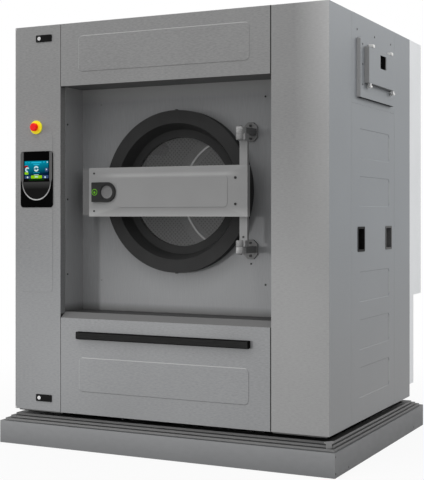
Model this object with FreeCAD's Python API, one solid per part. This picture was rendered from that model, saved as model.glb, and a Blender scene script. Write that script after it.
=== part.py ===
"""Industrial washer-extractor on a floating cabinet, in millimetres.

X runs to the right seen from the front, Y to the back and Z up. The origin is the middle of the footprint on
the floor. Depths are counted backwards from the cabinet's front face, and heights given to up() from its
lower edge.
"""

import FreeCAD
import Part
import math
import os

V = FreeCAD.Vector

# Cabinet
CAB_DEPTH = 1224.0
CAB_HEIGHT = 1890.0
SHEET = 3.0
SEAM = 2.5
COLUMN_WIDTH = 275.0
COLUMN_DEPTH = 295.0
SIDE_REAR_DEPTH = 274.0
SUPPLY_PANEL_HEIGHT = 417.0
RETURN_FLANGE = 40.0
EMBOSS = 2.5
EMBOSS_RADIUS = 22.0

# Base
PLINTH_HEIGHT = 108.5
PLINTH_SIDE = 46.5
PLINTH_FRONT = 56.0
PLINTH_REAR = 94.0
BEAM_WALL = 8.0
FLOOR_PLATE = 12.0
STEP_TREAD = 26.0
SIDE_TREAD = 14.0
STEP_RISE = 10.0
STEP_COUNT = 3
FLOAT_GAP = 24.5
GUSSET_WIDTHS = (26.0, 46.0)
GUSSET_NECK = 18.0
GUSSET_FLARE = 5.0
GUSSET_HEAD = 7.5
GUSSET_THICK = 4.0
GUSSET_COUNT = 2
GUSSET_SETBACK = 12.0
PLINTH_SCREW_RADIUS = 5.0
PLINTH_SCREW_SINK = 3.0
PLINTH_SCREWS = ((-45.0, 19.0), (-45.0, 91.0), (121.0, 16.0), (1141.0, 18.0))
ANCHOR_RADIUS = 11.0
ANCHOR_INSET = 70.0

# Suspension between base and cabinet
CHASSIS_DROP = 8.0
CHASSIS_PLATE = 12.0
CHASSIS_SETBACK = 60.0
COLUMN_FOOT_SETBACK = 18.0
POST_SIZE = 50.0
POST_DEPTH = 60.0
SPRING_RADIUS = 105.0
SPRING_NECK = 78.0
SPRING_RIM = 8.0
SPRING_INSET = 300.0
DAMPER_OFFSET = 180.0
DAMPER_RADIUS = 27.0
DAMPER_ROD_RADIUS = 10.0
DAMPER_HEIGHT = 86.0
DAMPER_OVERLAP = 42.0
DAMPER_FLOOR = 18.0
SUSPENSION_DEPTH = 250.0

# Door recess
RECESS_FLOOR = 488.0
RECESS_SIDE = 167.0
RECESS_DEPTH = 197.0
TOP_PANEL_HEIGHT = 303.0
SILL_DROP = 27.0
SILL_DEPTH = 40.0
LINER_GAP = 1.0

# Front fittings
TOP_EMBOSS_SIDE = 102.0
TOP_EMBOSS_MARGIN = 64.5
LOW_EMBOSS_SIDE = 105.0
LOW_EMBOSS_BOTTOM = 109.0
LOW_EMBOSS_HEIGHT = 165.0
BAR_SIDE = 98.5
BAR_DROP = 89.0
BAR_HEIGHT = 36.0
BAR_DEPTH = 25.0
BAR_ROUND = 6.0

# Left column door and its controls
ROLL_RADIUS = 10.5
PIVOT_RADIUS = 4.0
EAR_NECK = 12.0
EAR_FOOT = 6.0
EAR_CLEAR = 1.5
EAR_HEIGHT = 12.0
EAR_BACK = 30.0
DOOR_LIFT = 1.0
RUNNING_FIT = 0.05
LOOSE_FIT = 0.3
TOUCH_OFFSET = -3.0
TOUCH_BOTTOM = 998.0
TOUCH_WIDTH = 190.0
TOUCH_HEIGHT = 276.0
TOUCH_DEPTH = 4.0
TOUCH_RADIUS = 16.0
SCREEN_RISE = 133.0
SCREEN_WIDTH = 143.0
SCREEN_HEIGHT = 96.0
SCREEN_THICK = 1.5
ESTOP_OFFSET = -5.5
ESTOP_RISE = 118.0
COLLAR_RADIUS = 33.0
COLLAR_DEPTH = 6.0
MUSHROOM_RADIUS = 20.0
MUSHROOM_TOP = 32.0
MUSHROOM_THICK = 16.0
ESTOP_STEM_RADIUS = 11.0
ESTOP_STEM_BACK = 26.0
LOCK_PLATE_OFFSET = 39.0
LOCK_PLATE_SIZE = (91.0, 34.0)
LOCK_PLATE_DEPTH = 4.0
LOCK_INSET = 63.0
KEY_OFFSET = -26.5
KEY_RADIUS = 9.0
KEY_PROUD = 1.5
CAM_DEPTH = 18.0
CAM_THICK = 4.0
CAM_LENGTH = 45.0
CAM_WIDTH = 16.0

# Door
PLUG_RADIUS = 318.0
PLUG_WALL = 18.0
PLUG_GAP = 12.0
RIM_STEP = 8.0
RIM_FACE = 62.0
RIM_THICK = 45.0
CONE_LENGTH = 59.0
GLASS_LEDGE = 38.0
GLASS_LAP = 11.0
GLASS_SEAT = 7.0
GLASS_THICK = 10.0
GLASS_KEEP = 5.0
GASKET_INSET = 8.0
GASKET_WIDTH = 40.0
GASKET_THICK = 4.7
AXIS_RISE = 35.5
BEAM_OVERHANGS = (35.0, 33.0)
BEAM_HEIGHT = 235.0
BEAM_SAG = 2.5
BEAM_FRONT = 47.0
BEAM_DEPTH = 28.0
BEAM_SHEET = 5.0
BEAM_CORNER = 3.0
PLATEAU_INSETS = (160.0, 96.0)
PLATEAU_MARGIN = 43.5
PLATEAU_RISE = 8.0
PLATEAU_RADIUS = 22.0
STANDOFF_RADIUS = 14.0
STANDOFF_INSET = 36.0
STANDOFF_RISE = 70.0
BEAM_SCREW_INSETS = (30.0, 58.0)
BEAM_SCREW_RISES = (91.0, 60.0)
BEAM_SCREW_RADII = (4.5, 6.0)
UPRIGHT_SCREW_RISE = 45.0
HINGE_INSET = 36.0
HINGE_DEPTH = 42.0
HINGE_SPREAD = 515.0
KNUCKLE_RADIUS = 17.0
KNUCKLE_LENGTH = 30.0
HINGE_PIN_RADIUS = 7.0
PIN_HEAD = (11.0, 5.0)
UPRIGHT_WIDTH = 40.0
UPRIGHT_REACH = 27.0
UPRIGHT_SETBACK = 14.0
UPRIGHT_THICK = 19.0
HINGE_PLATE = (70.0, 90.0)
HINGE_PLATE_CUT = 20.0
HINGE_PLATE_SHIFT = 13.0
HINGE_PLATE_THICK = 8.0
HINGE_BOLT_PITCH = 60.0
BOLT_RADIUS = 6.0
BOLT_HEAD = 4.0
LOCK_HOUSING_INSET = 23.0
LOCK_HOUSING_LENGTH = 85.5
LOCK_HOUSING_HEIGHT = 95.0
LOCK_HOUSING_DEPTH = 16.0
BUTTON_RADIUS = 34.0
BUTTON_SETBACK = 2.0
BUTTON_THICK = 7.0
BUTTON_TRAVEL = 6.0
LOCK_CASE_LAP = 11.0
LOCK_CASE_WIDTH = 79.0
LOCK_CASE_HEIGHT = 224.0
LOCK_CASE_DEPTH = 100.0
NOTCH = (16.0, 31.0, 60.0)
STRIKE_INSET = 2.0
STRIKE_THICK = 6.0
STRIKE_HEIGHT = 40.0
STRIKE_ENTRY = 23.0
BOLT_PIN_RADIUS = 6.0
BOLT_PIN_LENGTH = 40.0
BOLT_PIN_DEPTH = 11.0
SCREW_RADIUS = 4.5
SCREW_HEAD = 2.0
PANEL_SCREW_SIDE = 110.0
PANEL_SCREW_MARGINS = (149.0, 78.0)
LINER_SCREW_DEPTH = 18.0
LINER_SCREW_MARGIN = 182.0
STUD_DROP = 340.0

# Drum, tub and drive
DRUM_RADIUS = 560.0
DRUM_SHEET = 4.0
DRUM_GAP = 4.0
DRUM_MOUTH = 300.0
DRUM_ROLL = 8.0
DRUM_PLATE = 6.0
BACK_RING_RADIUS = 286.0
BACK_RING_WIDTH = 18.0
BACK_RING_RISE = 5.0
DRUM_HUB_RADIUS = 140.0
DRUM_HUB_DEPTH = 34.0
LIFTER_COUNT = 3
LIFTER_HEIGHT = 95.0
LIFTER_FOOT = 130.0
LIFTER_CREST = 50.0
TUB_GAP = 56.0
TUB_SHEET = 4.0
TUB_PLATE = 15.0
TUB_BACK_GAP = 60.0
TUB_LEG_X = 300.0
TUB_LEG_WIDTH = 120.0
TUB_LEG_THICK = 20.0
TUB_LEG_INSET = 115.0
TUB_LEG_GAP = 63.0
SHAFT_RADIUS = 55.0
SHAFT_HOLE_GAP = 5.0
BEARING_RADIUS = 100.0
BEARING_LENGTH = 40.0
BEARING_LIP = 70.0
HOUSING_RADIUS = 150.0
HOUSING_FLANGE = (250.0, 18.0)
HOUSING_LENGTH = 238.0
PULLEY_RADIUS = 300.0
PULLEY_WIDTH = 70.0
PULLEY_GAP = 10.0
PULLEY_RIM = 30.0
PULLEY_HUB = 95.0
PULLEY_WEB = 15.0
PULLEY_HUB_PROUD = 5.0
BACK_GAP = 23.0
MOTOR_X = -450.0
MOTOR_RADIUS = 150.0
MOTOR_LENGTH = 380.0
MOTOR_FOOT = 60.0
MOTOR_FOOT_WIDTH = 280.0
MOTOR_SHAFT_RADIUS = 24.0
MOTOR_SHAFT_DEPTH = 80.0
MOTOR_GAP = 40.0
MOTOR_PULLEY_RADIUS = 90.0
BELT_THICK = 8.0
BELT_MARGIN = 5.0

# Water connections
DRAIN_RADIUS = 45.0
VALVE_RADIUS = 58.0
DRAIN_HEIGHT = 267.0
DRAIN_DEPTH = 520.0
PIPE_PROUD = 66.0
PIPE_GAP = 1.0
NIPPLE_STEP = 3.0
NIPPLE_START = 10.0
INLET_RADIUS = 13.2
INLET_COUNT = 2
INLET_X = -300.0
INLET_PITCH = 80.0
INLET_RISE = 47.0
INLET_DEPTH = 600.0
INLET_FLANGE = (25.0, 6.0)
INLET_VALVE_RADIUS = 22.0

# Side fittings
RIB_INSETS = (97.5, 82.5)
RIB_HEIGHT = 141.0
RIB_MARGIN = 109.5
RIB_ROWS = 6
GRIP_ROW = 3
GRIP_INSETS = (130.5, 96.5)
GRIP_SIZE = (102.0, 117.0)
GRIP_RIM = 10.0
GRIP_PROUD = 2.0
GRIP_POCKET = 42.0
GRIP_WALL = 3.0
SUPPLY_INSETS = (68.5, 57.0)
SUPPLY_HEIGHT = 276.0
SUPPLY_RISE = 29.5
SUPPLY_PLATE = 18.0
SUPPLY_RADIUS = 6.0
LID_INSETS = (57.0, 60.0)
LID_HEIGHT = 171.0
LID_RISE = 69.0
LID_THICK = 23.0
LID_WALL = 3.0
WINDOW_SIZE = (91.0, 63.0)
WINDOW_OFFSET = 12.5
WINDOW_RISE = 87.0
WINDOW_SINK = 8.0
LUG_RADIUS = 7.0
LUG_LENGTH = 14.0
LUG_DROP = 13.0
LUG_INSET = 7.0
LUG_MARGINS = (36.0, 14.0)
LUG_PIN_RADIUS = 3.0
CLIP_SIZE = (26.0, 14.0)
CLIP_MARGIN = 59.0
CLIP_PROUD = 4.0
PORT_COUNT = 5
PORT_RADIUS = 9.0
PORT_LENGTH = 14.0
PORT_PITCH = 55.0
PORT_RISE = 57.0
SIDE_SCREW_MARGIN = 5.0
SIDE_SCREW_RISE = 37.0
PLATE_SCREW_INSET = 30.0
PLATE_SCREW_PITCH = 93.5
PLATE_SCREW_SHIFT = 16.0

# Rear housings
REAR_DEPTH = 216.0
REAR_LOW_DEPTH = 72.0
REAR_X = (130.0, 230.0)
REAR_SPLIT = 535.0
REAR_LOW_BOTTOM = 64.0
ENTRY_RADIUS = 20.0
ENTRY_INSET = 100.0

# Round the door
RIM_INNER = PLUG_RADIUS + RIM_STEP
RIM_OUTER = RIM_INNER + RIM_FACE
RIM_BACK = RECESS_DEPTH - GASKET_THICK - LOOSE_FIT
RIM_FRONT = RIM_BACK - RIM_THICK
CONE_INNER = PLUG_RADIUS - PLUG_WALL
CONE_DEPTH = RIM_FRONT + CONE_LENGTH
GLASS_MOUTH = CONE_INNER - GLASS_LEDGE
GLASS_RADIUS = GLASS_MOUTH + GLASS_LAP
GLASS_FRONT = CONE_DEPTH + GLASS_SEAT
GLASS_BACK = GLASS_FRONT + GLASS_THICK
PLUG_BACK = GLASS_BACK + GLASS_KEEP
PANEL_MOUTH = PLUG_RADIUS + PLUG_GAP

# Overall sizes
COLUMN_EDGE = RIM_OUTER + RECESS_SIDE
HALF = COLUMN_EDGE + COLUMN_WIDTH
INNER = HALF - SHEET
BACK_INNER = CAB_DEPTH - SHEET
CAB_BOTTOM = PLINTH_HEIGHT + STEP_COUNT * STEP_RISE + FLOAT_GAP
CAB_TOP = CAB_BOTTOM + CAB_HEIGHT
TOTAL_DEPTH = PLINTH_FRONT + CAB_DEPTH + REAR_DEPTH
CAB_FRONT = PLINTH_FRONT - TOTAL_DEPTH / 2
RECESS_TOP = CAB_HEIGHT - TOP_PANEL_HEIGHT
SERVICE_HEIGHT = CAB_HEIGHT - SUPPLY_PANEL_HEIGHT
AXIS_HEIGHT = (RECESS_FLOOR + RECESS_TOP) / 2 + AXIS_RISE
AXIS_Z = CAB_BOTTOM + AXIS_HEIGHT
PLINTH_X = HALF + PLINTH_SIDE
PLINTH_ENDS = (-PLINTH_FRONT, CAB_DEPTH + PLINTH_REAR)
BEAM_WIDTH = (STEP_COUNT + 2) * STEP_TREAD
CHASSIS_TOP = CAB_BOTTOM + CHASSIS_PLATE
CHASSIS_LOW = CAB_BOTTOM - CHASSIS_DROP
LINER_START = RETURN_FLANGE + LINER_GAP

# Cross beam, hinge and lock
BEAM_X = (-RIM_OUTER - BEAM_OVERHANGS[0], RIM_OUTER + BEAM_OVERHANGS[1])
BEAM_MIDDLE = AXIS_Z - BEAM_SAG
BEAM_Z = (BEAM_MIDDLE - BEAM_HEIGHT / 2, BEAM_MIDDLE + BEAM_HEIGHT / 2)
PLATEAU_X = (BEAM_X[0] + PLATEAU_INSETS[0], BEAM_X[1] - PLATEAU_INSETS[1])
PLATEAU_Z = (BEAM_Z[0] + PLATEAU_MARGIN, BEAM_Z[1] - PLATEAU_MARGIN)
STANDOFF_X = RIM_OUTER - STANDOFF_INSET
HINGE_X = BEAM_X[1] - HINGE_INSET
HINGE_Z = (AXIS_Z - HINGE_SPREAD / 2, AXIS_Z + HINGE_SPREAD / 2)
HINGE_PLATE_X = HINGE_X - HINGE_PLATE_SHIFT
UPRIGHT_X = (HINGE_X + UPRIGHT_REACH - UPRIGHT_WIDTH, HINGE_X + UPRIGHT_REACH)
PAN_FLOOR = BEAM_FRONT + BEAM_SHEET
UPRIGHT_FRONT = PAN_FLOOR + UPRIGHT_SETBACK
LOCK_HOUSING_X = (BEAM_X[0] + LOCK_HOUSING_INSET, BEAM_X[0] + LOCK_HOUSING_INSET + LOCK_HOUSING_LENGTH)
LOCK_HOUSING_FRONT = BEAM_FRONT - LOCK_HOUSING_DEPTH
BUTTON_ENDS = (LOCK_HOUSING_FRONT + BUTTON_SETBACK, LOCK_HOUSING_FRONT + BUTTON_SETBACK + BUTTON_THICK)
CASE_EDGE = BEAM_X[0] + LOCK_CASE_LAP
CASE_FRONT = RECESS_DEPTH - LOCK_CASE_DEPTH

# Drum and drive line, worked out from the back of the cabinet forwards
PULLEY_END = BACK_INNER - BACK_GAP - PULLEY_HUB_PROUD
PULLEY_START = PULLEY_END - PULLEY_WIDTH
HOUSING_END = PULLEY_START - PULLEY_GAP
TUB_END = HOUSING_END - HOUSING_LENGTH
TUB_FRONT = RECESS_DEPTH + SHEET
TUB_SHELL = (TUB_FRONT + TUB_PLATE, TUB_END - TUB_PLATE)
TUB_RADIUS = DRUM_RADIUS + TUB_GAP + TUB_SHEET
DRUM_FRONT = PLUG_BACK + DRUM_GAP + DRUM_ROLL
DRUM_BACK = TUB_SHELL[1] - TUB_BACK_GAP
HUB_END = DRUM_BACK + DRUM_PLATE + DRUM_HUB_DEPTH
MOTOR_Z = CHASSIS_TOP + MOTOR_FOOT + MOTOR_RADIUS
MOTOR_END = PULLEY_START - MOTOR_GAP
MOTOR_FRONT = MOTOR_END - MOTOR_LENGTH

# Left column
COLUMN_X = -COLUMN_EDGE - COLUMN_WIDTH / 2
PIVOT_X = -HALF + ROLL_RADIUS
EAR_SIDE = PIVOT_X + ROLL_RADIUS + EAR_CLEAR
DOOR_EDGE = -COLUMN_EDGE - SEAM
TOUCH_X = COLUMN_X + TOUCH_OFFSET
ESTOP_X = COLUMN_X + ESTOP_OFFSET
ESTOP_Z = CAB_BOTTOM + TOUCH_BOTTOM + TOUCH_HEIGHT + ESTOP_RISE
LOCK_PLATE_X = COLUMN_X + LOCK_PLATE_OFFSET
KEY_X = LOCK_PLATE_X + KEY_OFFSET
LOCK_LEVELS = {"lower_lock": CAB_BOTTOM + LOCK_INSET, "upper_lock": CAB_TOP - LOCK_INSET}

# Right side
SIDE_MIDDLE = (COLUMN_DEPTH + SEAM, CAB_DEPTH - SIDE_REAR_DEPTH - SEAM)
RIB_LENGTH = (SIDE_MIDDLE[0] + RIB_INSETS[0], SIDE_MIDDLE[1] - RIB_INSETS[1])
RIB_PITCH = (SERVICE_HEIGHT - 2 * RIB_MARGIN - RIB_HEIGHT) / (RIB_ROWS - 1)
GRIP_DEPTHS = (SIDE_MIDDLE[0] + GRIP_INSETS[0], SIDE_MIDDLE[1] - GRIP_INSETS[1])
SUPPLY_LENGTH = (SIDE_MIDDLE[0] + SUPPLY_INSETS[0], SIDE_MIDDLE[1] - SUPPLY_INSETS[1])
SUPPLY_BOTTOM = CAB_BOTTOM + SERVICE_HEIGHT + SEAM + SUPPLY_RISE
SUPPLY_TOP = SUPPLY_BOTTOM + SUPPLY_HEIGHT
LID_LENGTH = (SUPPLY_LENGTH[0] + LID_INSETS[0], SUPPLY_LENGTH[1] - LID_INSETS[1])
LID_CENTRE = (LID_LENGTH[0] + LID_LENGTH[1]) / 2
LID_Z = (SUPPLY_BOTTOM + LID_RISE, SUPPLY_BOTTOM + LID_RISE + LID_HEIGHT)
LID_X = HALF + SUPPLY_PLATE
LUG_X = LID_X + LID_THICK - LUG_INSET
INLET_Z = AXIS_Z + TUB_RADIUS + INLET_RISE


def up(height):
    """Height above the floor of a point given above the cabinet's lower edge."""
    return CAB_BOTTOM + height


def span(start, length):
    return (start, start + length)


def around(middle, size):
    return (middle - size / 2, middle + size / 2)


def block(x, depth, z):
    """Box between two values of x, of depth and of height above the floor."""
    corner = V(x[0], CAB_FRONT + depth[0], z[0])
    return Part.makeBox(x[1] - x[0], depth[1] - depth[0], z[1] - z[0], corner)


def post(radius, x, depth, z):
    """Upright cylinder between two heights."""
    return Part.makeCylinder(radius, z[1] - z[0], V(x, CAB_FRONT + depth, z[0]))


def rod(radius, x, depth, z):
    """Cylinder that runs front to back between two depths."""
    return Part.makeCylinder(radius, depth[1] - depth[0], V(x, CAB_FRONT + depth[0], z), V(0, 1, 0))


def cross_rod(radius, x, depth, z):
    """Cylinder that runs left to right between two values of x."""
    return Part.makeCylinder(radius, x[1] - x[0], V(x[0], CAB_FRONT + depth, z), V(1, 0, 0))


def lathe(profile):
    """Solid turned about the drum's axis from (radius, depth) corners."""
    points = [V(radius, CAB_FRONT + depth, AXIS_Z) for radius, depth in profile]
    face = Part.Face(Part.makePolygon(points + points[:1]))
    return face.revolve(V(0, 0, AXIS_Z), V(0, 1, 0), 360)


def outline(a, b, radius, place):
    """Closed rounded rectangle, where place turns its plane's coordinates into a point."""
    (a0, a1), (b0, b1) = a, b
    cut = radius * (1 - math.sqrt(0.5))
    sides = [
        ((a0 + radius, b0), (a1 - radius, b0), (a1 - cut, b0 + cut), (a1, b0 + radius)),
        ((a1, b0 + radius), (a1, b1 - radius), (a1 - cut, b1 - cut), (a1 - radius, b1)),
        ((a1 - radius, b1), (a0 + radius, b1), (a0 + cut, b1 - cut), (a0, b1 - radius)),
        ((a0, b1 - radius), (a0, b0 + radius), (a0 + cut, b0 + cut), (a0 + radius, b0)),
    ]
    edges = []
    for start, end, middle, after in sides:
        edges.append(Part.LineSegment(place(*start), place(*end)).toShape())
        edges.append(Part.Arc(place(*end), place(*middle), place(*after)).toShape())
    return Part.Wire(edges)


def on_front(depth):
    return lambda x, z: V(x, CAB_FRONT + depth, z)


def on_side(x):
    return lambda depth, z: V(x, CAB_FRONT + depth, z)


def front_slab(x, depth, z, radius):
    """Plate with rounded corners that faces the front."""
    face = Part.Face(outline(x, z, radius, on_front(depth[0])))
    return face.extrude(V(0, depth[1] - depth[0], 0))


def cut_corner_slab(x, depth, z):
    """Plate that faces the front, with its corners cut off at 45 degrees."""
    (x0, x1), (z0, z1) = x, z
    cut = HINGE_PLATE_CUT
    corners = [
        (x0 + cut, z0), (x1 - cut, z0), (x1, z0 + cut), (x1, z1 - cut),
        (x1 - cut, z1), (x0 + cut, z1), (x0, z1 - cut), (x0, z0 + cut),
    ]
    points = [on_front(depth[0])(*corner) for corner in corners]
    return Part.Face(Part.makePolygon(points + points[:1])).extrude(V(0, depth[1] - depth[0], 0))


def side_slab(x, depth, z, radius):
    """Plate with rounded corners that faces the right."""
    face = Part.Face(outline(depth, z, radius, on_side(x[0])))
    return face.extrude(V(x[1] - x[0], 0, 0))


def shrink(ends, amount):
    return (ends[0] + amount, ends[1] - amount)


def front_rise(x, z, rise, radius):
    """Raised field on a front sheet."""
    foot = outline(x, z, radius, on_front(0))
    crest = outline(shrink(x, rise), shrink(z, rise), radius, on_front(-rise))
    return Part.makeLoft([foot, crest], True, True)


def side_dip(face, depth, z, sink, radius):
    """Room of a field pressed into a right-hand side face."""
    brim = outline(depth, z, radius, on_side(face))
    floor = outline(shrink(depth, sink), shrink(z, sink), radius, on_side(face - sink))
    return Part.makeLoft([brim, floor], True, True)


def join(solids):
    """One solid from pieces that touch or overlap."""
    return solids[0].multiFuse(solids[1:]).removeSplitter()


def mirrored(shape):
    return shape.mirror(V(0, 0, 0), V(1, 0, 0))


def save(name, *solids):
    """Writes a node from its separate solids."""
    pieces = []
    for solid in solids:
        pieces.extend(solid.Solids)
    shape = pieces[0] if len(pieces) == 1 else Part.makeCompound(pieces)
    shape.exportStep(os.path.join("parts", name + ".step"))


def base_corners(end_inset, side_inset):
    """Corners of the base in plan, going round from the front left."""
    front, back = PLINTH_ENDS[0] + end_inset, PLINTH_ENDS[1] - end_inset
    side = PLINTH_X - side_inset
    return [(-side, front), (side, front), (side, back), (-side, back)]


def mitre(index, widths):
    """Plan shape of one side of the base, cut between its outer and inner corners at both ends."""
    outer, inner = base_corners(0, 0), base_corners(*widths)
    after = (index + 1) % 4
    plan = [outer[index], outer[after], inner[after], inner[index]]
    points = [V(x, CAB_FRONT + depth, 0) for x, depth in plan]
    return Part.Face(Part.makePolygon(points + points[:1])).extrude(V(0, 0, CAB_BOTTOM))


def base_rail(index, section, widths):
    """One side of the base with a section given as (distance inwards, height)."""
    corners = base_corners(0, 0)
    start, end = corners[index], corners[(index + 1) % 4]
    length = math.hypot(end[0] - start[0], end[1] - start[1])
    along = V((end[0] - start[0]) / length, (end[1] - start[1]) / length, 0)
    inwards = V(-along.y, along.x, 0)
    foot = V(start[0], CAB_FRONT + start[1], 0)
    points = [foot + inwards * distance + V(0, 0, height) for distance, height in section]
    bar = Part.Face(Part.makePolygon(points + points[:1])).extrude(along * length)
    return bar.common(mitre(index, widths))


def rectangle(low, high):
    return [(low[0], low[1]), (high[0], low[1]), (high[0], high[1]), (low[0], high[1])]


def skirt_width(tread):
    """Width of a stepped rail whose top is two treads wide."""
    return (STEP_COUNT + 2) * tread


def stairs(tread):
    """Section of the stepped skirt on top of the plinth."""
    width = skirt_width(tread)
    points = [(tread, PLINTH_HEIGHT)]
    for step in range(1, STEP_COUNT + 1):
        level = PLINTH_HEIGHT + step * STEP_RISE
        reach = width if step == STEP_COUNT else (step + 1) * tread
        points.append((step * tread, level))
        points.append((reach, level))
    points.append((width, PLINTH_HEIGHT))
    return points


def step_rail(index):
    """Stepped rail on one side of the base, with narrower treads on the left and right."""
    tread = SIDE_TREAD if index % 2 else STEP_TREAD
    return base_rail(index, stairs(tread), (skirt_width(STEP_TREAD), skirt_width(SIDE_TREAD)))


def anchor_places():
    inset = BEAM_WIDTH + ANCHOR_INSET
    return base_corners(inset, inset)


def base():
    outer = rectangle((0, 0), (BEAM_WIDTH, PLINTH_HEIGHT))
    inner = rectangle((BEAM_WALL, BEAM_WALL), (BEAM_WIDTH - BEAM_WALL, PLINTH_HEIGHT - BEAM_WALL))
    widths = (BEAM_WIDTH, BEAM_WIDTH)
    beams = [base_rail(side, outer, widths).cut(base_rail(side, inner, widths)) for side in range(4)]
    beams = [screw_holes(beam) for beam in beams]
    save("base_steps", *[step_rail(side) for side in range(4)])
    corners = base_corners(*widths)
    plate = block((corners[0][0], corners[1][0]), (corners[0][1], corners[2][1]), (0, FLOOR_PLATE))
    for x, depth in anchor_places():
        plate = plate.cut(post(ANCHOR_RADIUS, x, depth, (0, FLOOR_PLATE)))
    save("base_plinth", plate, *beams)
    save("corner_gussets", *[gusset(index) for index in range(1, 4, 4 // GUSSET_COUNT)])


def screw_holes(beam):
    """Sunk screw holes in the outer faces of the base's two sides."""
    for depth, z in PLINTH_SCREWS:
        for side in ((-PLINTH_X, PLINTH_SCREW_SINK - PLINTH_X), (PLINTH_X - PLINTH_SCREW_SINK, PLINTH_X)):
            beam = beam.cut(cross_rod(PLINTH_SCREW_RADIUS, side, depth, z))
    return beam


def gusset(index):
    """Funnel-shaped upright plate on the first tread, set across a corner."""
    x, depth = base_corners(STEP_TREAD + GUSSET_SETBACK, 2 * SIDE_TREAD + GUSSET_SETBACK)[index]
    narrow, wide = (width / 2 for width in GUSSET_WIDTHS)
    foot = PLINTH_HEIGHT + STEP_RISE
    neck = foot + GUSSET_NECK
    shoulder = neck + GUSSET_FLARE
    top = shoulder + GUSSET_HEAD
    section = [
        (-narrow, foot), (narrow, foot), (narrow, neck), (wide, shoulder),
        (wide, top), (-wide, top), (-wide, shoulder), (-narrow, neck),
    ]
    points = [V(across, 0, z) for across, z in section]
    plate = Part.Face(Part.makePolygon(points + points[:1])).extrude(V(0, GUSSET_THICK, 0))
    plate.rotate(V(0, 0, 0), V(0, 0, 1), 90 * index - 45)
    plate.translate(V(x, CAB_FRONT + depth, 0))
    return plate


def four_places(inset):
    """Points under the cabinet's four quarters."""
    side = HALF - inset
    depths = (SUSPENSION_DEPTH, CAB_DEPTH - SUSPENSION_DEPTH)
    return [(x, depth) for x in (-side, side) for depth in depths]


def air_spring(x, depth):
    """Rubber bellows with two bulges between the floor plate and the chassis."""
    low, high = FLOOR_PLATE, CHASSIS_LOW
    waist = (low + high) / 2
    edges = [Part.LineSegment(V(0, 0, low), V(SPRING_NECK, 0, low)).toShape()]
    edges.append(Part.LineSegment(V(SPRING_NECK, 0, low), V(SPRING_NECK, 0, low + SPRING_RIM)).toShape())
    for start, end in ((low + SPRING_RIM, waist), (waist, high - SPRING_RIM)):
        bulge = V(SPRING_RADIUS, 0, (start + end) / 2)
        edges.append(Part.Arc(V(SPRING_NECK, 0, start), bulge, V(SPRING_NECK, 0, end)).toShape())
    edges.append(Part.LineSegment(V(SPRING_NECK, 0, high - SPRING_RIM), V(SPRING_NECK, 0, high)).toShape())
    edges.append(Part.LineSegment(V(SPRING_NECK, 0, high), V(0, 0, high)).toShape())
    edges.append(Part.LineSegment(V(0, 0, high), V(0, 0, low)).toShape())
    spring = Part.Face(Part.Wire(edges)).revolve(V(0, 0, 0), V(0, 0, 1), 360)
    spring.translate(V(x, CAB_FRONT + depth, 0))
    return spring


def suspension():
    save("air_springs", *[air_spring(x, depth) for x, depth in four_places(SPRING_INSET)])
    top = FLOOR_PLATE + DAMPER_HEIGHT
    bodies = []
    rods = []
    for x, depth in four_places(SPRING_INSET + DAMPER_OFFSET):
        body = post(DAMPER_RADIUS, x, depth, (FLOOR_PLATE, top))
        bore = post(DAMPER_ROD_RADIUS + RUNNING_FIT, x, depth, (FLOOR_PLATE + DAMPER_FLOOR, top))
        bodies.append(body.cut(bore))
        rods.append(post(DAMPER_ROD_RADIUS, x, depth, (top - DAMPER_OVERLAP, CHASSIS_LOW)))
    save("damper_bodies", *bodies)
    save("damper_rods", *rods)


def chassis():
    level = (CHASSIS_LOW, CAB_BOTTOM)
    depth = shrink((0, CAB_DEPTH), CHASSIS_SETBACK)
    lower = block(shrink((-HALF, HALF), CHASSIS_SETBACK), depth, level)
    foot = block((COLUMN_EDGE + SEAM, HALF - COLUMN_FOOT_SETBACK), (COLUMN_FOOT_SETBACK, depth[0]), level)
    upper = block((-INNER, INNER), (RETURN_FLANGE + SHEET, BACK_INNER), (CAB_BOTTOM, CHASSIS_TOP))
    heights = (CHASSIS_TOP, CAB_TOP - SHEET)
    posts = []
    for start in (POST_DEPTH, BACK_INNER - POST_SIZE):
        right = block((INNER - POST_SIZE, INNER), (start, start + POST_SIZE), heights)
        posts.extend([right, mirrored(right)])
    save("chassis_frame", join([lower, foot, mirrored(foot), upper]), *posts)
    level = (CAB_TOP - SHEET, CAB_TOP)
    roof = block((-INNER, INNER), (SHEET + SEAM, BACK_INNER), level)
    notch = block((-INNER, EAR_SIDE), (SHEET + SEAM, EAR_BACK), level)
    save("roof_panel", roof.cut(notch))


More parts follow.
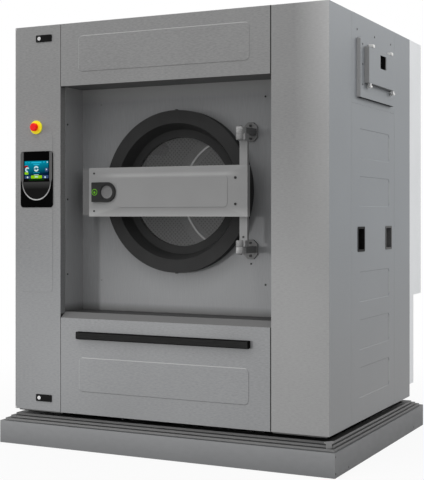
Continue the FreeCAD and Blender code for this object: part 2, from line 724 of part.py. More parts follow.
def front_sheets():
    height = (CAB_BOTTOM, CAB_TOP)
    edge = COLUMN_EDGE + SEAM
    column = [
        block((edge, HALF), (0, SHEET), height),
        block((INNER, HALF), (0, COLUMN_DEPTH), height),
        block((edge, edge + SHEET), (0, RETURN_FLANGE), (CAB_BOTTOM, CAB_TOP - SHEET)),
    ]
    save("right_column", join(column))
    wide = (-COLUMN_EDGE, COLUMN_EDGE)
    top = [
        block(wide, (0, SHEET), (up(RECESS_TOP), CAB_TOP)),
        block(wide, (0, RETURN_FLANGE), (CAB_TOP - 2 * SHEET, CAB_TOP - SHEET)),
        front_rise(
            shrink(wide, TOP_EMBOSS_SIDE), shrink((up(RECESS_TOP), CAB_TOP), TOP_EMBOSS_MARGIN),
            EMBOSS, EMBOSS_RADIUS,
        ),
    ]
    save("top_front_panel", join(top))
    low = [
        sill_sheet(),
        block(wide, (0, RETURN_FLANGE + SHEET), (CAB_BOTTOM, CAB_BOTTOM + SHEET)),
        front_rise(
            shrink(wide, LOW_EMBOSS_SIDE), span(up(LOW_EMBOSS_BOTTOM), LOW_EMBOSS_HEIGHT),
            EMBOSS, EMBOSS_RADIUS,
        ),
    ]
    save("bottom_front_panel", join(low))
    bar_z = span(up(RECESS_FLOOR) - BAR_DROP - BAR_HEIGHT, BAR_HEIGHT)
    bar = block(shrink(wide, BAR_SIDE), (-BAR_DEPTH, 0), bar_z)
    rim = [edge for edge in bar.Edges if edge.BoundBox.YMin < CAB_FRONT - BAR_DEPTH / 2]
    save("bumper_bar", bar.makeFillet(BAR_ROUND, rim))


def sill_sheet():
    """Bottom panel sheet with the slope that leads up into the recess."""
    edge, floor = up(RECESS_FLOOR - SILL_DROP), up(RECESS_FLOOR)
    angle = math.atan2(SILL_DROP, SILL_DEPTH)
    under = SHEET / math.cos(angle)
    bend = SHEET * math.tan(math.pi / 4 - angle / 2)
    section = [
        (0, CAB_BOTTOM), (0, edge), (SILL_DEPTH, floor), (SILL_DEPTH, floor - under),
        (SHEET, edge - under + SHEET * math.tan(angle)), (SHEET, edge - bend - SHEET), (SHEET, CAB_BOTTOM),
    ]
    points = [V(-COLUMN_EDGE, CAB_FRONT + depth, z) for depth, z in section]
    return Part.Face(Part.makePolygon(points + points[:1])).extrude(V(2 * COLUMN_EDGE, 0, 0))


def recess():
    floor, ceiling = up(RECESS_FLOOR), up(RECESS_TOP)
    tall = (floor - SHEET, ceiling + SHEET)
    right = block((COLUMN_EDGE, COLUMN_EDGE + SHEET), (LINER_START, RECESS_DEPTH), tall)
    wide = (-COLUMN_EDGE, COLUMN_EDGE)
    shelf = block(wide, (SILL_DEPTH, RECESS_DEPTH), (floor - SHEET, floor))
    cover = block(wide, (SHEET, RECESS_DEPTH), (ceiling, ceiling + SHEET))
    save("recess_liners", right, mirrored(right), shelf, cover)
    panel = block(shrink(wide, -SHEET), (RECESS_DEPTH, TUB_FRONT), tall)
    save("recess_panel", panel.cut(rod(PANEL_MOUTH, 0, (RECESS_DEPTH, TUB_FRONT), AXIS_Z)))
    inner = PANEL_MOUTH + GASKET_INSET
    front = RECESS_DEPTH - GASKET_THICK
    save("mouth_gasket", lathe(rectangle((inner, front), (inner + GASKET_WIDTH, RECESS_DEPTH))))


def pivot_ear(z):
    """Lug on the left side sheet that carries one pivot of the column door."""
    neck = block(around(PIVOT_X, EAR_NECK), (ROLL_RADIUS, EAR_BACK), z)
    foot = block((-INNER, PIVOT_X), (EAR_BACK - EAR_FOOT, EAR_BACK), z)
    ear = join([post(ROLL_RADIUS, PIVOT_X, ROLL_RADIUS, z), neck, foot])
    return ear.cut(post(PIVOT_RADIUS + RUNNING_FIT, PIVOT_X, ROLL_RADIUS, z))


def ear_heights():
    low = CAB_BOTTOM + DOOR_LIFT
    return (span(low, EAR_HEIGHT), (CAB_TOP - EAR_HEIGHT, CAB_TOP))


def side_sheets():
    height = (CAB_BOTTOM, CAB_TOP)
    split = up(SERVICE_HEIGHT)
    right = (INNER, HALF)
    upper = block(right, SIDE_MIDDLE, (split + SEAM, CAB_TOP))
    rear = block(right, (CAB_DEPTH - SIDE_REAR_DEPTH, CAB_DEPTH), height)
    lower = block(right, SIDE_MIDDLE, (CAB_BOTTOM, split))
    strip = block((-HALF, -INNER), (2 * ROLL_RADIUS + SEAM / 2, COLUMN_DEPTH), height)
    strip = join([strip] + [pivot_ear(z) for z in ear_heights()])
    left = [mirrored(sheet) for sheet in (upper, rear, lower)]
    save("side_sheets", upper, rear, strip, *left)


def rear():
    back = block((-INNER, INNER), (BACK_INNER, CAB_DEPTH), (CAB_BOTTOM, CAB_TOP))
    through = (BACK_INNER, CAB_DEPTH)
    back = back.cut(rod(DRAIN_RADIUS - NIPPLE_STEP + PIPE_GAP, 0, through, up(DRAIN_HEIGHT)))
    for x in inlet_places():
        back = back.cut(rod(INLET_RADIUS - NIPPLE_STEP + PIPE_GAP, x, through, INLET_Z))
    save("back_panel", back)
    tall = open_box(REAR_X[0], CAB_DEPTH + REAR_DEPTH, (up(REAR_SPLIT), CAB_TOP))
    floor = (up(REAR_SPLIT), up(REAR_SPLIT) + SHEET)
    tall = tall.cut(post(ENTRY_RADIUS, *cable_entry(), floor))
    low = open_box(REAR_X[1], CAB_DEPTH + REAR_LOW_DEPTH, (up(REAR_LOW_BOTTOM), up(REAR_SPLIT)))
    save("rear_housings", tall, low)


def inlet_places():
    return [INLET_X + INLET_PITCH * index for index in range(INLET_COUNT)]


def cable_entry():
    return (REAR_X[0] + ENTRY_INSET, CAB_DEPTH + REAR_DEPTH - ENTRY_INSET)


def open_box(left, back, z):
    """Sheet box on the back panel, open towards it and flush with the right side."""
    outer = block((left, HALF), (CAB_DEPTH, back), z)
    return outer.cut(block(shrink((left, HALF), SHEET), (CAB_DEPTH, back - SHEET), shrink(z, SHEET)))


def column_door():
    low, high = CAB_BOTTOM + DOOR_LIFT, CAB_TOP
    ears = ear_heights()
    roll = (ears[0][1] + LOOSE_FIT, ears[1][0] - LOOSE_FIT)
    shade = CAB_TOP - SHEET - SEAM
    door = [
        block((PIVOT_X, DOOR_EDGE), (0, SHEET), (low, high)),
        block((DOOR_EDGE - SHEET, DOOR_EDGE), (0, RETURN_FLANGE), (low, shade)),
        block((EAR_SIDE, DOOR_EDGE), (0, RETURN_FLANGE / 2), (low, low + SHEET)),
        block((EAR_SIDE, DOOR_EDGE), (0, RETURN_FLANGE / 2), (shade - SHEET, shade)),
        post(ROLL_RADIUS, PIVOT_X, ROLL_RADIUS, roll),
    ]
    door = join(door)
    for ear in ears:
        door = door.cut(post(ROLL_RADIUS + LOOSE_FIT, PIVOT_X, ROLL_RADIUS, shrink(ear, -LOOSE_FIT)))
    pivot = post(PIVOT_RADIUS, PIVOT_X, ROLL_RADIUS, (ears[0][0], ears[1][1] - DOOR_LIFT))
    door = join([door, pivot])
    sheet = (0, SHEET)
    door = door.cut(rod(ESTOP_STEM_RADIUS + LOOSE_FIT, ESTOP_X, sheet, ESTOP_Z))
    for z in LOCK_LEVELS.values():
        door = door.cut(rod(KEY_RADIUS + RUNNING_FIT, KEY_X, sheet, z))
    save("column_door", door)


def controls():
    panel_z = span(up(TOUCH_BOTTOM), TOUCH_HEIGHT)
    panel = front_slab(around(TOUCH_X, TOUCH_WIDTH), (-TOUCH_DEPTH, 0), panel_z, TOUCH_RADIUS)
    screen_z = span(panel_z[0] + SCREEN_RISE, SCREEN_HEIGHT)
    screen = block(around(TOUCH_X, SCREEN_WIDTH), span(-TOUCH_DEPTH, SCREEN_THICK), screen_z)
    save("touch_panel", panel.cut(screen))
    save("touch_screen", screen)
    z = ESTOP_Z
    collar = rod(COLLAR_RADIUS, ESTOP_X, (-COLLAR_DEPTH, 0), z)
    save("estop_collar", collar.cut(rod(ESTOP_STEM_RADIUS + LOOSE_FIT, ESTOP_X, (-COLLAR_DEPTH, 0), z)))
    head = rod(MUSHROOM_RADIUS, ESTOP_X, (-MUSHROOM_TOP, MUSHROOM_THICK - MUSHROOM_TOP), z)
    crown = CAB_FRONT - MUSHROOM_TOP + MUSHROOM_THICK / 2
    brim = [edge for edge in head.Edges if edge.BoundBox.YMax < crown]
    head = head.makeFillet(MUSHROOM_THICK / 3, brim)
    stem = rod(ESTOP_STEM_RADIUS, ESTOP_X, (MUSHROOM_THICK - MUSHROOM_TOP, ESTOP_STEM_BACK), z)
    save("estop_button", join([head, stem]))
    plates = []
    for name, z in LOCK_LEVELS.items():
        plates.append(lock_plate(z))
        save(name, key_lock(z))
    save("lock_plates", *plates)


def lock_plate(z):
    width, height = LOCK_PLATE_SIZE
    depth = (-LOCK_PLATE_DEPTH, 0)
    plate = front_slab(around(LOCK_PLATE_X, width), depth, around(z, height), LOCK_PLATE_DEPTH)
    return plate.cut(rod(KEY_RADIUS + RUNNING_FIT, KEY_X, depth, z))


def key_lock(z):
    """Key cylinder with its cam behind the column door."""
    cam = block(span(KEY_X, CAM_LENGTH), span(CAM_DEPTH, CAM_THICK), around(z, CAM_WIDTH))
    barrel = rod(KEY_RADIUS, KEY_X, (-LOCK_PLATE_DEPTH - KEY_PROUD, CAM_DEPTH + CAM_THICK), z)
    return join([barrel, cam])


def tub():
    shell = lathe(rectangle((TUB_RADIUS - TUB_SHEET, TUB_SHELL[0]), (TUB_RADIUS, TUB_SHELL[1])))
    front = lathe(rectangle((PANEL_MOUTH, TUB_FRONT), (TUB_RADIUS, TUB_SHELL[0])))
    hole = SHAFT_RADIUS + SHAFT_HOLE_GAP
    back = lathe(rectangle((hole, TUB_SHELL[1]), (TUB_RADIUS, TUB_END)))
    save("tub_end_plates", front, back)
    body = rod(TUB_RADIUS, 0, TUB_SHELL, AXIS_Z)
    legs = []
    for start in (TUB_SHELL[0] + TUB_LEG_INSET, MOTOR_FRONT - TUB_LEG_GAP - TUB_LEG_THICK):
        leg = block(span(TUB_LEG_X, TUB_LEG_WIDTH), span(start, TUB_LEG_THICK), (CHASSIS_TOP, AXIS_Z))
        leg = leg.cut(body)
        legs.extend([leg, mirrored(leg)])
    save("tub_shell", join([shell] + legs))


def bearings():
    flange_radius, flange = HOUSING_FLANGE
    lip = TUB_END + flange
    housing = [
        (BEARING_LIP, TUB_END), (flange_radius, TUB_END), (flange_radius, lip), (HOUSING_RADIUS, lip),
        (HOUSING_RADIUS, HOUSING_END), (BEARING_RADIUS, HOUSING_END), (BEARING_RADIUS, lip),
        (BEARING_LIP, lip),
    ]
    save("bearing_housing", lathe(housing))
    inner = SHAFT_RADIUS + RUNNING_FIT
    races = []
    for start in (lip, HOUSING_END - BEARING_LENGTH):
        races.append(lathe(rectangle((inner, start), (BEARING_RADIUS, start + BEARING_LENGTH))))
    save("shaft_bearings", *races)


def lifter(angle):
    """Rib on the drum wall, its foot cut to the wall's curve."""
    wall = DRUM_RADIUS - DRUM_SHEET
    crest = wall - LIFTER_HEIGHT
    reach = wall + LIFTER_HEIGHT / 4
    depth = (DRUM_FRONT + DRUM_SHEET, DRUM_BACK)
    section = [
        (crest, -LIFTER_CREST / 2), (reach, -LIFTER_FOOT / 2),
        (reach, LIFTER_FOOT / 2), (crest, LIFTER_CREST / 2),
    ]
    points = [V(t, CAB_FRONT + depth[0], -r) for r, t in section]
    rib = Part.Face(Part.makePolygon(points + points[:1])).extrude(V(0, depth[1] - depth[0], 0))
    rib.rotate(V(0, 0, 0), V(0, 1, 0), angle)
    rib.translate(V(0, 0, AXIS_Z))
    return rib.common(rod(wall, 0, depth, AXIS_Z))


def drum():
    wall = DRUM_RADIUS - DRUM_SHEET
    shell_start = DRUM_FRONT + DRUM_SHEET
    save("drum_shell", lathe(rectangle((wall, shell_start), (DRUM_RADIUS, DRUM_BACK))))
    front = [
        (DRUM_MOUTH, DRUM_FRONT - DRUM_ROLL), (DRUM_MOUTH + DRUM_SHEET, DRUM_FRONT - DRUM_ROLL),
        (DRUM_MOUTH + DRUM_SHEET, DRUM_FRONT), (DRUM_RADIUS, DRUM_FRONT), (DRUM_RADIUS, shell_start),
        (DRUM_MOUTH, shell_start),
    ]
    save("drum_front_ring", lathe(front))
    plate_end = DRUM_BACK + DRUM_PLATE
    ring_inner, ring_outer = span(BACK_RING_RADIUS, BACK_RING_WIDTH)
    ridge = DRUM_BACK - BACK_RING_RISE
    back = [
        (0, DRUM_BACK), (ring_inner, DRUM_BACK), (ring_inner, ridge), (ring_outer, ridge),
        (ring_outer, DRUM_BACK), (DRUM_RADIUS, DRUM_BACK), (DRUM_RADIUS, plate_end),
        (DRUM_HUB_RADIUS, plate_end), (DRUM_HUB_RADIUS, HUB_END), (0, HUB_END),
    ]
    save("drum_back", lathe(back))
    save("drum_lifters", *[lifter(360 / LIFTER_COUNT * index) for index in range(LIFTER_COUNT)])
    shaft_end = PULLEY_END + PULLEY_HUB_PROUD
    save("drum_shaft", rod(SHAFT_RADIUS, 0, (HUB_END, shaft_end), AXIS_Z))
    save("drum_pulley", lathe(pulley_section()))


def pulley_section():
    """Half section of the drum pulley: hub, web and rim."""
    bore = SHAFT_RADIUS
    rim = PULLEY_RADIUS - PULLEY_RIM
    hub = (PULLEY_START - PULLEY_HUB_PROUD, PULLEY_END + PULLEY_HUB_PROUD)
    web = around((PULLEY_START + PULLEY_END) / 2, PULLEY_WEB)
    return [
        (bore, hub[0]), (PULLEY_HUB, hub[0]), (PULLEY_HUB, web[0]), (rim, web[0]), (rim, PULLEY_START),
        (PULLEY_RADIUS, PULLEY_START), (PULLEY_RADIUS, PULLEY_END), (rim, PULLEY_END), (rim, web[1]),
        (PULLEY_HUB, web[1]), (PULLEY_HUB, hub[1]), (bore, hub[1]),
    ]


def drive():
    length = (MOTOR_FRONT, MOTOR_END)
    case = rod(MOTOR_RADIUS, MOTOR_X, length, MOTOR_Z)
    foot = block(around(MOTOR_X, MOTOR_FOOT_WIDTH), shrink(length, MOTOR_FOOT), (CHASSIS_TOP, MOTOR_Z))
    inside = MOTOR_END - MOTOR_SHAFT_DEPTH
    bore = rod(MOTOR_SHAFT_RADIUS + RUNNING_FIT, MOTOR_X, (inside, MOTOR_END), MOTOR_Z)
    save("motor", join([case, foot]).cut(bore))
    shaft = rod(MOTOR_SHAFT_RADIUS, MOTOR_X, (inside, PULLEY_END), MOTOR_Z)
    wheel = rod(MOTOR_PULLEY_RADIUS, MOTOR_X, (PULLEY_START, PULLEY_END), MOTOR_Z)
    save("motor_pulley", join([shaft, wheel]))
    inner = belt_loop(LOOSE_FIT)
    outer = belt_loop(LOOSE_FIT + BELT_THICK)
    save("drive_belt", outer.cut(inner))


def belt_loop(offset):
    """Solid inside a belt line that runs round both pulleys at a given offset."""
    big, small = PULLEY_RADIUS + offset, MOTOR_PULLEY_RADIUS + offset
    dx, dz = MOTOR_X, MOTOR_Z - AXIS_Z
    lean = math.atan2(dz, dx)
    spread = math.acos((big - small) / math.hypot(dx, dz))
    start = CAB_FRONT + PULLEY_START + BELT_MARGIN

    def on_wheel(x, z, radius, angle):
        return V(x + radius * math.cos(angle), start, z + radius * math.sin(angle))

    big_a = on_wheel(0, AXIS_Z, big, lean + spread)
    big_far = on_wheel(0, AXIS_Z, big, lean + math.pi)
    big_b = on_wheel(0, AXIS_Z, big, lean - spread)
    small_a = on_wheel(MOTOR_X, MOTOR_Z, small, lean + spread)
    small_far = on_wheel(MOTOR_X, MOTOR_Z, small, lean)
    small_b = on_wheel(MOTOR_X, MOTOR_Z, small, lean - spread)
    edges = [
        Part.Arc(big_a, big_far, big_b).toShape(),
        Part.LineSegment(big_b, small_b).toShape(),
        Part.Arc(small_b, small_far, small_a).toShape(),
        Part.LineSegment(small_a, big_a).toShape(),
    ]
    return Part.Face(Part.Wire(edges)).extrude(V(0, PULLEY_WIDTH - 2 * BELT_MARGIN, 0))


def plumbing():
    body = rod(TUB_RADIUS, 0, TUB_SHELL, AXIS_Z)
    z = up(DRAIN_HEIGHT)
    outlet = CAB_DEPTH + PIPE_PROUD
    valve = post(VALVE_RADIUS, 0, DRAIN_DEPTH, (z - VALVE_RADIUS, AXIS_Z)).cut(body)
    valve = min(valve.Solids, key=lambda solid: solid.CenterOfMass.z)
    nipple = (CAB_DEPTH + NIPPLE_START, outlet)
    pipe = rod(DRAIN_RADIUS - NIPPLE_STEP, 0, (DRAIN_DEPTH, outlet), z)
    save("drain_valve", join([valve, pipe, rod(DRAIN_RADIUS, 0, nipple, z)]))
    flange_radius, flange = INLET_FLANGE
    z = INLET_Z
    inner = INLET_RADIUS - NIPPLE_STEP
    inlets = []
    for x in inlet_places():
        pipe = rod(inner, x, (INLET_DEPTH, outlet), z)
        drop = post(INLET_VALVE_RADIUS, x, INLET_DEPTH, (AXIS_Z, z + INLET_VALVE_RADIUS)).cut(body)
        collar = rod(flange_radius, x, (CAB_DEPTH, CAB_DEPTH + flange), z)
        inlets.append(join([pipe, drop, collar, rod(INLET_RADIUS, x, nipple, z)]))
    save("water_inlets", *inlets)


def door_rim():
    """Black ring with its cone, glass groove and the plug that enters the mouth."""
    section = [
        (RIM_INNER, RIM_FRONT), (RIM_OUTER, RIM_FRONT), (RIM_OUTER, RIM_BACK), (PLUG_RADIUS, RIM_BACK),
        (PLUG_RADIUS, PLUG_BACK), (GLASS_MOUTH, PLUG_BACK), (GLASS_MOUTH, GLASS_BACK),
        (GLASS_RADIUS, GLASS_BACK), (GLASS_RADIUS, GLASS_FRONT), (GLASS_MOUTH, GLASS_FRONT),
        (GLASS_MOUTH, CONE_DEPTH), (CONE_INNER, CONE_DEPTH),
    ]
    save("door_rim", lathe(section))
    save("door_glass", rod(GLASS_RADIUS, 0, (GLASS_FRONT, GLASS_BACK), AXIS_Z))


def upright():
    """Bar behind the beam that reaches up and down to the hinge knuckles."""
    return block(UPRIGHT_X, span(UPRIGHT_FRONT, UPRIGHT_THICK), shrink(HINGE_Z, KNUCKLE_LENGTH / 2))


def door_beam():
    back = BEAM_FRONT + BEAM_DEPTH
    pan = block(BEAM_X, (BEAM_FRONT, back), BEAM_Z)
    pan = pan.cut(block(shrink(BEAM_X, BEAM_SHEET), (PAN_FLOOR, back), shrink(BEAM_Z, BEAM_SHEET)))
    strike_x = span(BEAM_X[0] + STRIKE_INSET, STRIKE_THICK)
    strike = block(strike_x, (BEAM_FRONT, CASE_FRONT + STRIKE_ENTRY), around(AXIS_Z, STRIKE_HEIGHT))
    pieces = [pan, beam_hip(), strike]
    for x in (-STANDOFF_X, STANDOFF_X):
        for z in (AXIS_Z - STANDOFF_RISE, AXIS_Z + STANDOFF_RISE):
            pieces.append(rod(STANDOFF_RADIUS, x, (BEAM_FRONT, RIM_FRONT), z))
    beam = join(pieces).cut(upright()).cut(button_pocket())
    hole = cross_rod(BOLT_PIN_RADIUS + LOOSE_FIT, strike_x, CASE_FRONT + BOLT_PIN_DEPTH, AXIS_Z)
    save("door_beam", beam.cut(hole))
    heads = []
    places = (BEAM_X[0] + BEAM_SCREW_INSETS[0], BEAM_X[1] - BEAM_SCREW_INSETS[1])
    for x, rise, radius in zip(places, BEAM_SCREW_RISES, BEAM_SCREW_RADII):
        for z in (BEAM_MIDDLE - rise, BEAM_MIDDLE + rise):
            head = rod(radius, x, (facet_depth(x) - SCREW_HEAD, BEAM_FRONT), z)
            heads.append(head.cut(beam_hip()))
    middle = (UPRIGHT_X[0] + UPRIGHT_X[1]) / 2
    face = (UPRIGHT_FRONT - SCREW_HEAD, UPRIGHT_FRONT)
    heads.append(rod(SCREW_RADIUS, middle, face, HINGE_Z[0] + UPRIGHT_SCREW_RISE))
    save("beam_screws", *heads)


def beam_hip():
    """Front of the beam: four facets that slope forward to a flat field."""
    foot = outline(BEAM_X, BEAM_Z, BEAM_CORNER, on_front(BEAM_FRONT))
    crest = outline(PLATEAU_X, PLATEAU_Z, PLATEAU_RADIUS, on_front(BEAM_FRONT - PLATEAU_RISE))
    return Part.makeLoft([foot, crest], True, True)


def facet_depth(x):
    """Depth of the beam's left or right facet."""
    edge, crest = (BEAM_X[0], PLATEAU_X[0]) if x < 0 else (BEAM_X[1], PLATEAU_X[1])
    return BEAM_FRONT - PLATEAU_RISE * (x - edge) / (crest - edge)


def moving_knuckles():
    gap = LOOSE_FIT
    return (
        (HINGE_Z[0] + gap, HINGE_Z[0] + KNUCKLE_LENGTH),
        (HINGE_Z[1] - KNUCKLE_LENGTH, HINGE_Z[1] - gap),
    )


def fixed_knuckles():
    return (
        (HINGE_Z[0] - KNUCKLE_LENGTH, HINGE_Z[0]),
        (HINGE_Z[1], HINGE_Z[1] + KNUCKLE_LENGTH),
    )


def hinges():
    bore = HINGE_PIN_RADIUS + RUNNING_FIT
    pieces = [upright()]
    for z in moving_knuckles():
        pieces.append(post(KNUCKLE_RADIUS, HINGE_X, HINGE_DEPTH, z))
        pieces.append(block((HINGE_X, UPRIGHT_X[1]), (HINGE_DEPTH, UPRIGHT_FRONT + UPRIGHT_THICK), z))
    hinge_post = join(pieces)
    brackets = []
    pins = []
    head_radius, head = PIN_HEAD
    for z, joint in zip(fixed_knuckles(), HINGE_Z):
        outward = 1 if z[0] == joint else -1
        bracket = hinge_bracket(z)
        reach = around(joint, 2 * KNUCKLE_LENGTH)
        hinge_post = hinge_post.cut(post(bore, HINGE_X, HINGE_DEPTH, reach))
        brackets.append(bracket.cut(post(bore, HINGE_X, HINGE_DEPTH, reach)))
        cap = span(reach[1], head) if outward > 0 else span(reach[0] - head, head)
        shaft = post(HINGE_PIN_RADIUS, HINGE_X, HINGE_DEPTH, reach)
        pins.append(join([shaft, post(head_radius, HINGE_X, HINGE_DEPTH, cap)]))
    save("hinge_post", hinge_post)
    save("hinge_brackets", *brackets)
    save("hinge_pins", *pins)


def hinge_bracket(z):
    """Knuckle, arm and mounting plate fixed to the recess panel."""
    middle = (z[0] + z[1]) / 2
    face = RECESS_DEPTH - HINGE_PLATE_THICK
    width, height = HINGE_PLATE
    plate = cut_corner_slab(around(HINGE_PLATE_X, width), (face, RECESS_DEPTH), around(middle, height))
    arm = block(around(HINGE_X, 2 * KNUCKLE_RADIUS), (HINGE_DEPTH, face), z)
    return join([plate, arm, post(KNUCKLE_RADIUS, HINGE_X, HINGE_DEPTH, z)])


def panel_screws():
    """Screw heads on the recess, the hinge plates and the supply box."""
    floor, ceiling = up(RECESS_FLOOR), up(RECESS_TOP)
    side = COLUMN_EDGE - PANEL_SCREW_SIDE
    places = [(HINGE_PLATE_X, AXIS_Z - STUD_DROP)]
    for x in (-side, side):
        places.append((x, floor + PANEL_SCREW_MARGINS[0]))
        places.append((x, ceiling - PANEL_SCREW_MARGINS[1]))
    back = (RECESS_DEPTH - SCREW_HEAD, RECESS_DEPTH)
    heads = [rod(SCREW_RADIUS, x, back, z) for x, z in places]
    for z in ((floor + ceiling) / 2, *shrink((floor, ceiling), LINER_SCREW_MARGIN)):
        right = (COLUMN_EDGE - SCREW_HEAD, COLUMN_EDGE)
        head = cross_rod(SCREW_RADIUS, right, RETURN_FLANGE + LINER_SCREW_DEPTH, z)
        heads.extend([head, mirrored(head)])
    face = RECESS_DEPTH - HINGE_PLATE_THICK
    for z in fixed_knuckles():
        middle = (z[0] + z[1]) / 2
        for place in around(middle, HINGE_BOLT_PITCH):
            heads.append(rod(BOLT_RADIUS, HINGE_PLATE_X, (face - BOLT_HEAD, face), place))
    start, end = shrink(SUPPLY_LENGTH, SIDE_SCREW_MARGIN)
    for depth in (start, (start + end) / 2, end):
        heads.append(cross_rod(SCREW_RADIUS, span(HALF, SCREW_HEAD), depth, SUPPLY_TOP + SIDE_SCREW_RISE))
    depth = SUPPLY_LENGTH[0] + PLATE_SCREW_INSET
    middle = (SUPPLY_BOTTOM + SUPPLY_TOP) / 2 + PLATE_SCREW_SHIFT
    for z in (middle, *around(middle, 2 * PLATE_SCREW_PITCH)):
        heads.append(cross_rod(SCREW_RADIUS, span(LID_X, SCREW_HEAD), depth, z))
    save("panel_screws", *heads)


def button_pocket():
    """Round pocket in the lock housing and the beam behind it, in which the release button travels."""
    depth = (LOCK_HOUSING_FRONT, BUTTON_ENDS[1] + BUTTON_TRAVEL + LOOSE_FIT)
    return rod(BUTTON_RADIUS + LOOSE_FIT, LOCK_HOUSING_X[1], depth, BEAM_MIDDLE)


def door_lock():
    depth = (LOCK_HOUSING_FRONT, BEAM_FRONT)
    box = block(LOCK_HOUSING_X, depth, around(BEAM_MIDDLE, LOCK_HOUSING_HEIGHT))
    housing = join([box, rod(LOCK_HOUSING_HEIGHT / 2, LOCK_HOUSING_X[1], depth, BEAM_MIDDLE)])
    save("lock_housing", housing.cut(button_pocket()).cut(beam_hip()))
    save("release_button", rod(BUTTON_RADIUS, LOCK_HOUSING_X[1], BUTTON_ENDS, BEAM_MIDDLE))
    wide, deep, tall = NOTCH
    case_x = (CASE_EDGE - LOCK_CASE_WIDTH, CASE_EDGE)
    case = block(case_x, (CASE_FRONT, RECESS_DEPTH), around(AXIS_Z, LOCK_CASE_HEIGHT))
    case = case.cut(block((CASE_EDGE - wide, CASE_EDGE), span(CASE_FRONT, deep), around(AXIS_Z, tall)))
    pin = span(CASE_EDGE - wide - BOLT_PIN_LENGTH, BOLT_PIN_LENGTH)
    bolt_depth = CASE_FRONT + BOLT_PIN_DEPTH
    save("lock_case", case.cut(cross_rod(BOLT_PIN_RADIUS + RUNNING_FIT, pin, bolt_depth, AXIS_Z)))
    save("lock_bolt", cross_rod(BOLT_PIN_RADIUS, pin, bolt_depth, AXIS_Z))


def row_bottom(row):
    """Lower edge of one of the service panel's rows of ribs."""
    return up(RIB_MARGIN + RIB_PITCH * row)


def grip_spans(depth, inset):
    """Depth and height that a grip cup covers, less an inset all round."""
    width, height = GRIP_SIZE
    middle = row_bottom(GRIP_ROW) + RIB_HEIGHT / 2
    return (shrink(around(depth, width), inset), shrink(around(middle, height), inset))


def service_panel():
    sheet = block((INNER, HALF), SIDE_MIDDLE, (CAB_BOTTOM + DOOR_LIFT, up(SERVICE_HEIGHT)))
    rows = [row for row in range(RIB_ROWS) if row != GRIP_ROW]
    for row in rows:
        field = (RIB_LENGTH, span(row_bottom(row), RIB_HEIGHT), EMBOSS, EMBOSS_RADIUS)
        sheet = join([sheet, side_dip(INNER, *field)]).cut(side_dip(HALF, *field))
    cups = []
    for depth in GRIP_DEPTHS:
        hole = grip_spans(depth, GRIP_RIM - GRIP_WALL)
        sheet = sheet.cut(block((INNER, HALF), *hole))
        inside = HALF - GRIP_POCKET
        rim = side_slab((HALF, HALF + GRIP_PROUD), *grip_spans(depth, 0), GRIP_RIM - GRIP_WALL)
        cup = join([rim, block((inside, HALF), *hole)])
        cups.append(cup.cut(block((inside + GRIP_WALL, HALF + GRIP_PROUD), *grip_spans(depth, GRIP_RIM))))
    save("service_panel", sheet)
    save("grip_cups", *cups)


def supply_box():
    save("supply_plate", supply_plate())
    outside = LID_X + LID_THICK
    lid = block((LID_X, outside), LID_LENGTH, LID_Z)
    lid = lid.cut(block((LID_X, outside - LID_WALL), shrink(LID_LENGTH, LID_WALL), shrink(LID_Z, LID_WALL)))
    width, height = WINDOW_SIZE
    window = (around(LID_CENTRE + WINDOW_OFFSET, width), span(LID_Z[0] + WINDOW_RISE, height))
    floor = outside - WINDOW_SINK
    well = block((floor - LID_WALL, outside), *[shrink(side, -LID_WALL) for side in window])
    lid = join([lid, well]).cut(block((floor, outside), *window))
    axis = LID_Z[0] - LUG_DROP
    lugs = []
    for depth in (LID_LENGTH[0] + LUG_MARGINS[0], LID_LENGTH[1] - LUG_MARGINS[1]):
        lid = join([lid, lid_lug(depth, axis)])
        lid = lid.cut(lug_rod(LUG_PIN_RADIUS + RUNNING_FIT, depth - LUG_LENGTH, axis))
        lugs.append(plate_lug(depth, axis))
    save("supply_lid", lid)
    save("supply_window", block(span(floor, LID_WALL), *window))
    save("supply_hinges", *lugs)
    width, tall = CLIP_SIZE
    reach = span(LID_X + CLIP_PROUD, LID_THICK)
    clips = []
    for depth in shrink(LID_LENGTH, CLIP_MARGIN):
        clips.append(side_slab(reach, around(depth, width), span(LID_Z[1], tall), CLIP_PROUD))
    save("supply_clips", *clips)


def supply_plate():
    """Plate with a row of hose ports behind the lid."""
    plate = side_slab((HALF, LID_X), SUPPLY_LENGTH, (SUPPLY_BOTTOM, SUPPLY_TOP), SUPPLY_RADIUS)
    first = LID_CENTRE - PORT_PITCH * (PORT_COUNT - 1) / 2
    z = LID_Z[0] + PORT_RISE
    ports = []
    for index in range(PORT_COUNT):
        ports.append(cross_rod(PORT_RADIUS, (HALF, LID_X + PORT_LENGTH), first + PORT_PITCH * index, z))
    return join([plate] + ports)


def lug_rod(radius, depth, z):
    """Front-to-back cylinder on the lid's hinge line, one lug long."""
    return rod(radius, LUG_X, span(depth, LUG_LENGTH), z)


def lid_lug(depth, axis):
    start = depth - LUG_LENGTH
    web = block(around(LUG_X, 2 * LUG_RADIUS), (start, depth), (axis, LID_Z[0]))
    return join([lug_rod(LUG_RADIUS, start, axis), web])


def plate_lug(depth, axis):
    """Lug on the plate with the pin that the lid's lug turns on."""
    start = depth + LOOSE_FIT
    web = block((LID_X, LUG_X), span(start, LUG_LENGTH), around(axis, 2 * LUG_RADIUS))
    pin = rod(LUG_PIN_RADIUS, LUG_X, (depth - LUG_LENGTH, start), axis)
    return join([lug_rod(LUG_RADIUS, start, axis), web, pin])


def main():
    os.makedirs("parts", exist_ok=True)
    base()
    suspension()
    chassis()
    front_sheets()
    recess()
    side_sheets()
    rear()
    column_door()
    controls()
    tub()
    bearings()
    drum()
    drive()
    plumbing()
    door_rim()
    door_beam()
    hinges()
    panel_screws()
    door_lock()
    service_panel()
    supply_box()


main()
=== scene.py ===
"""Looks of the washer-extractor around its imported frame, in metres."""

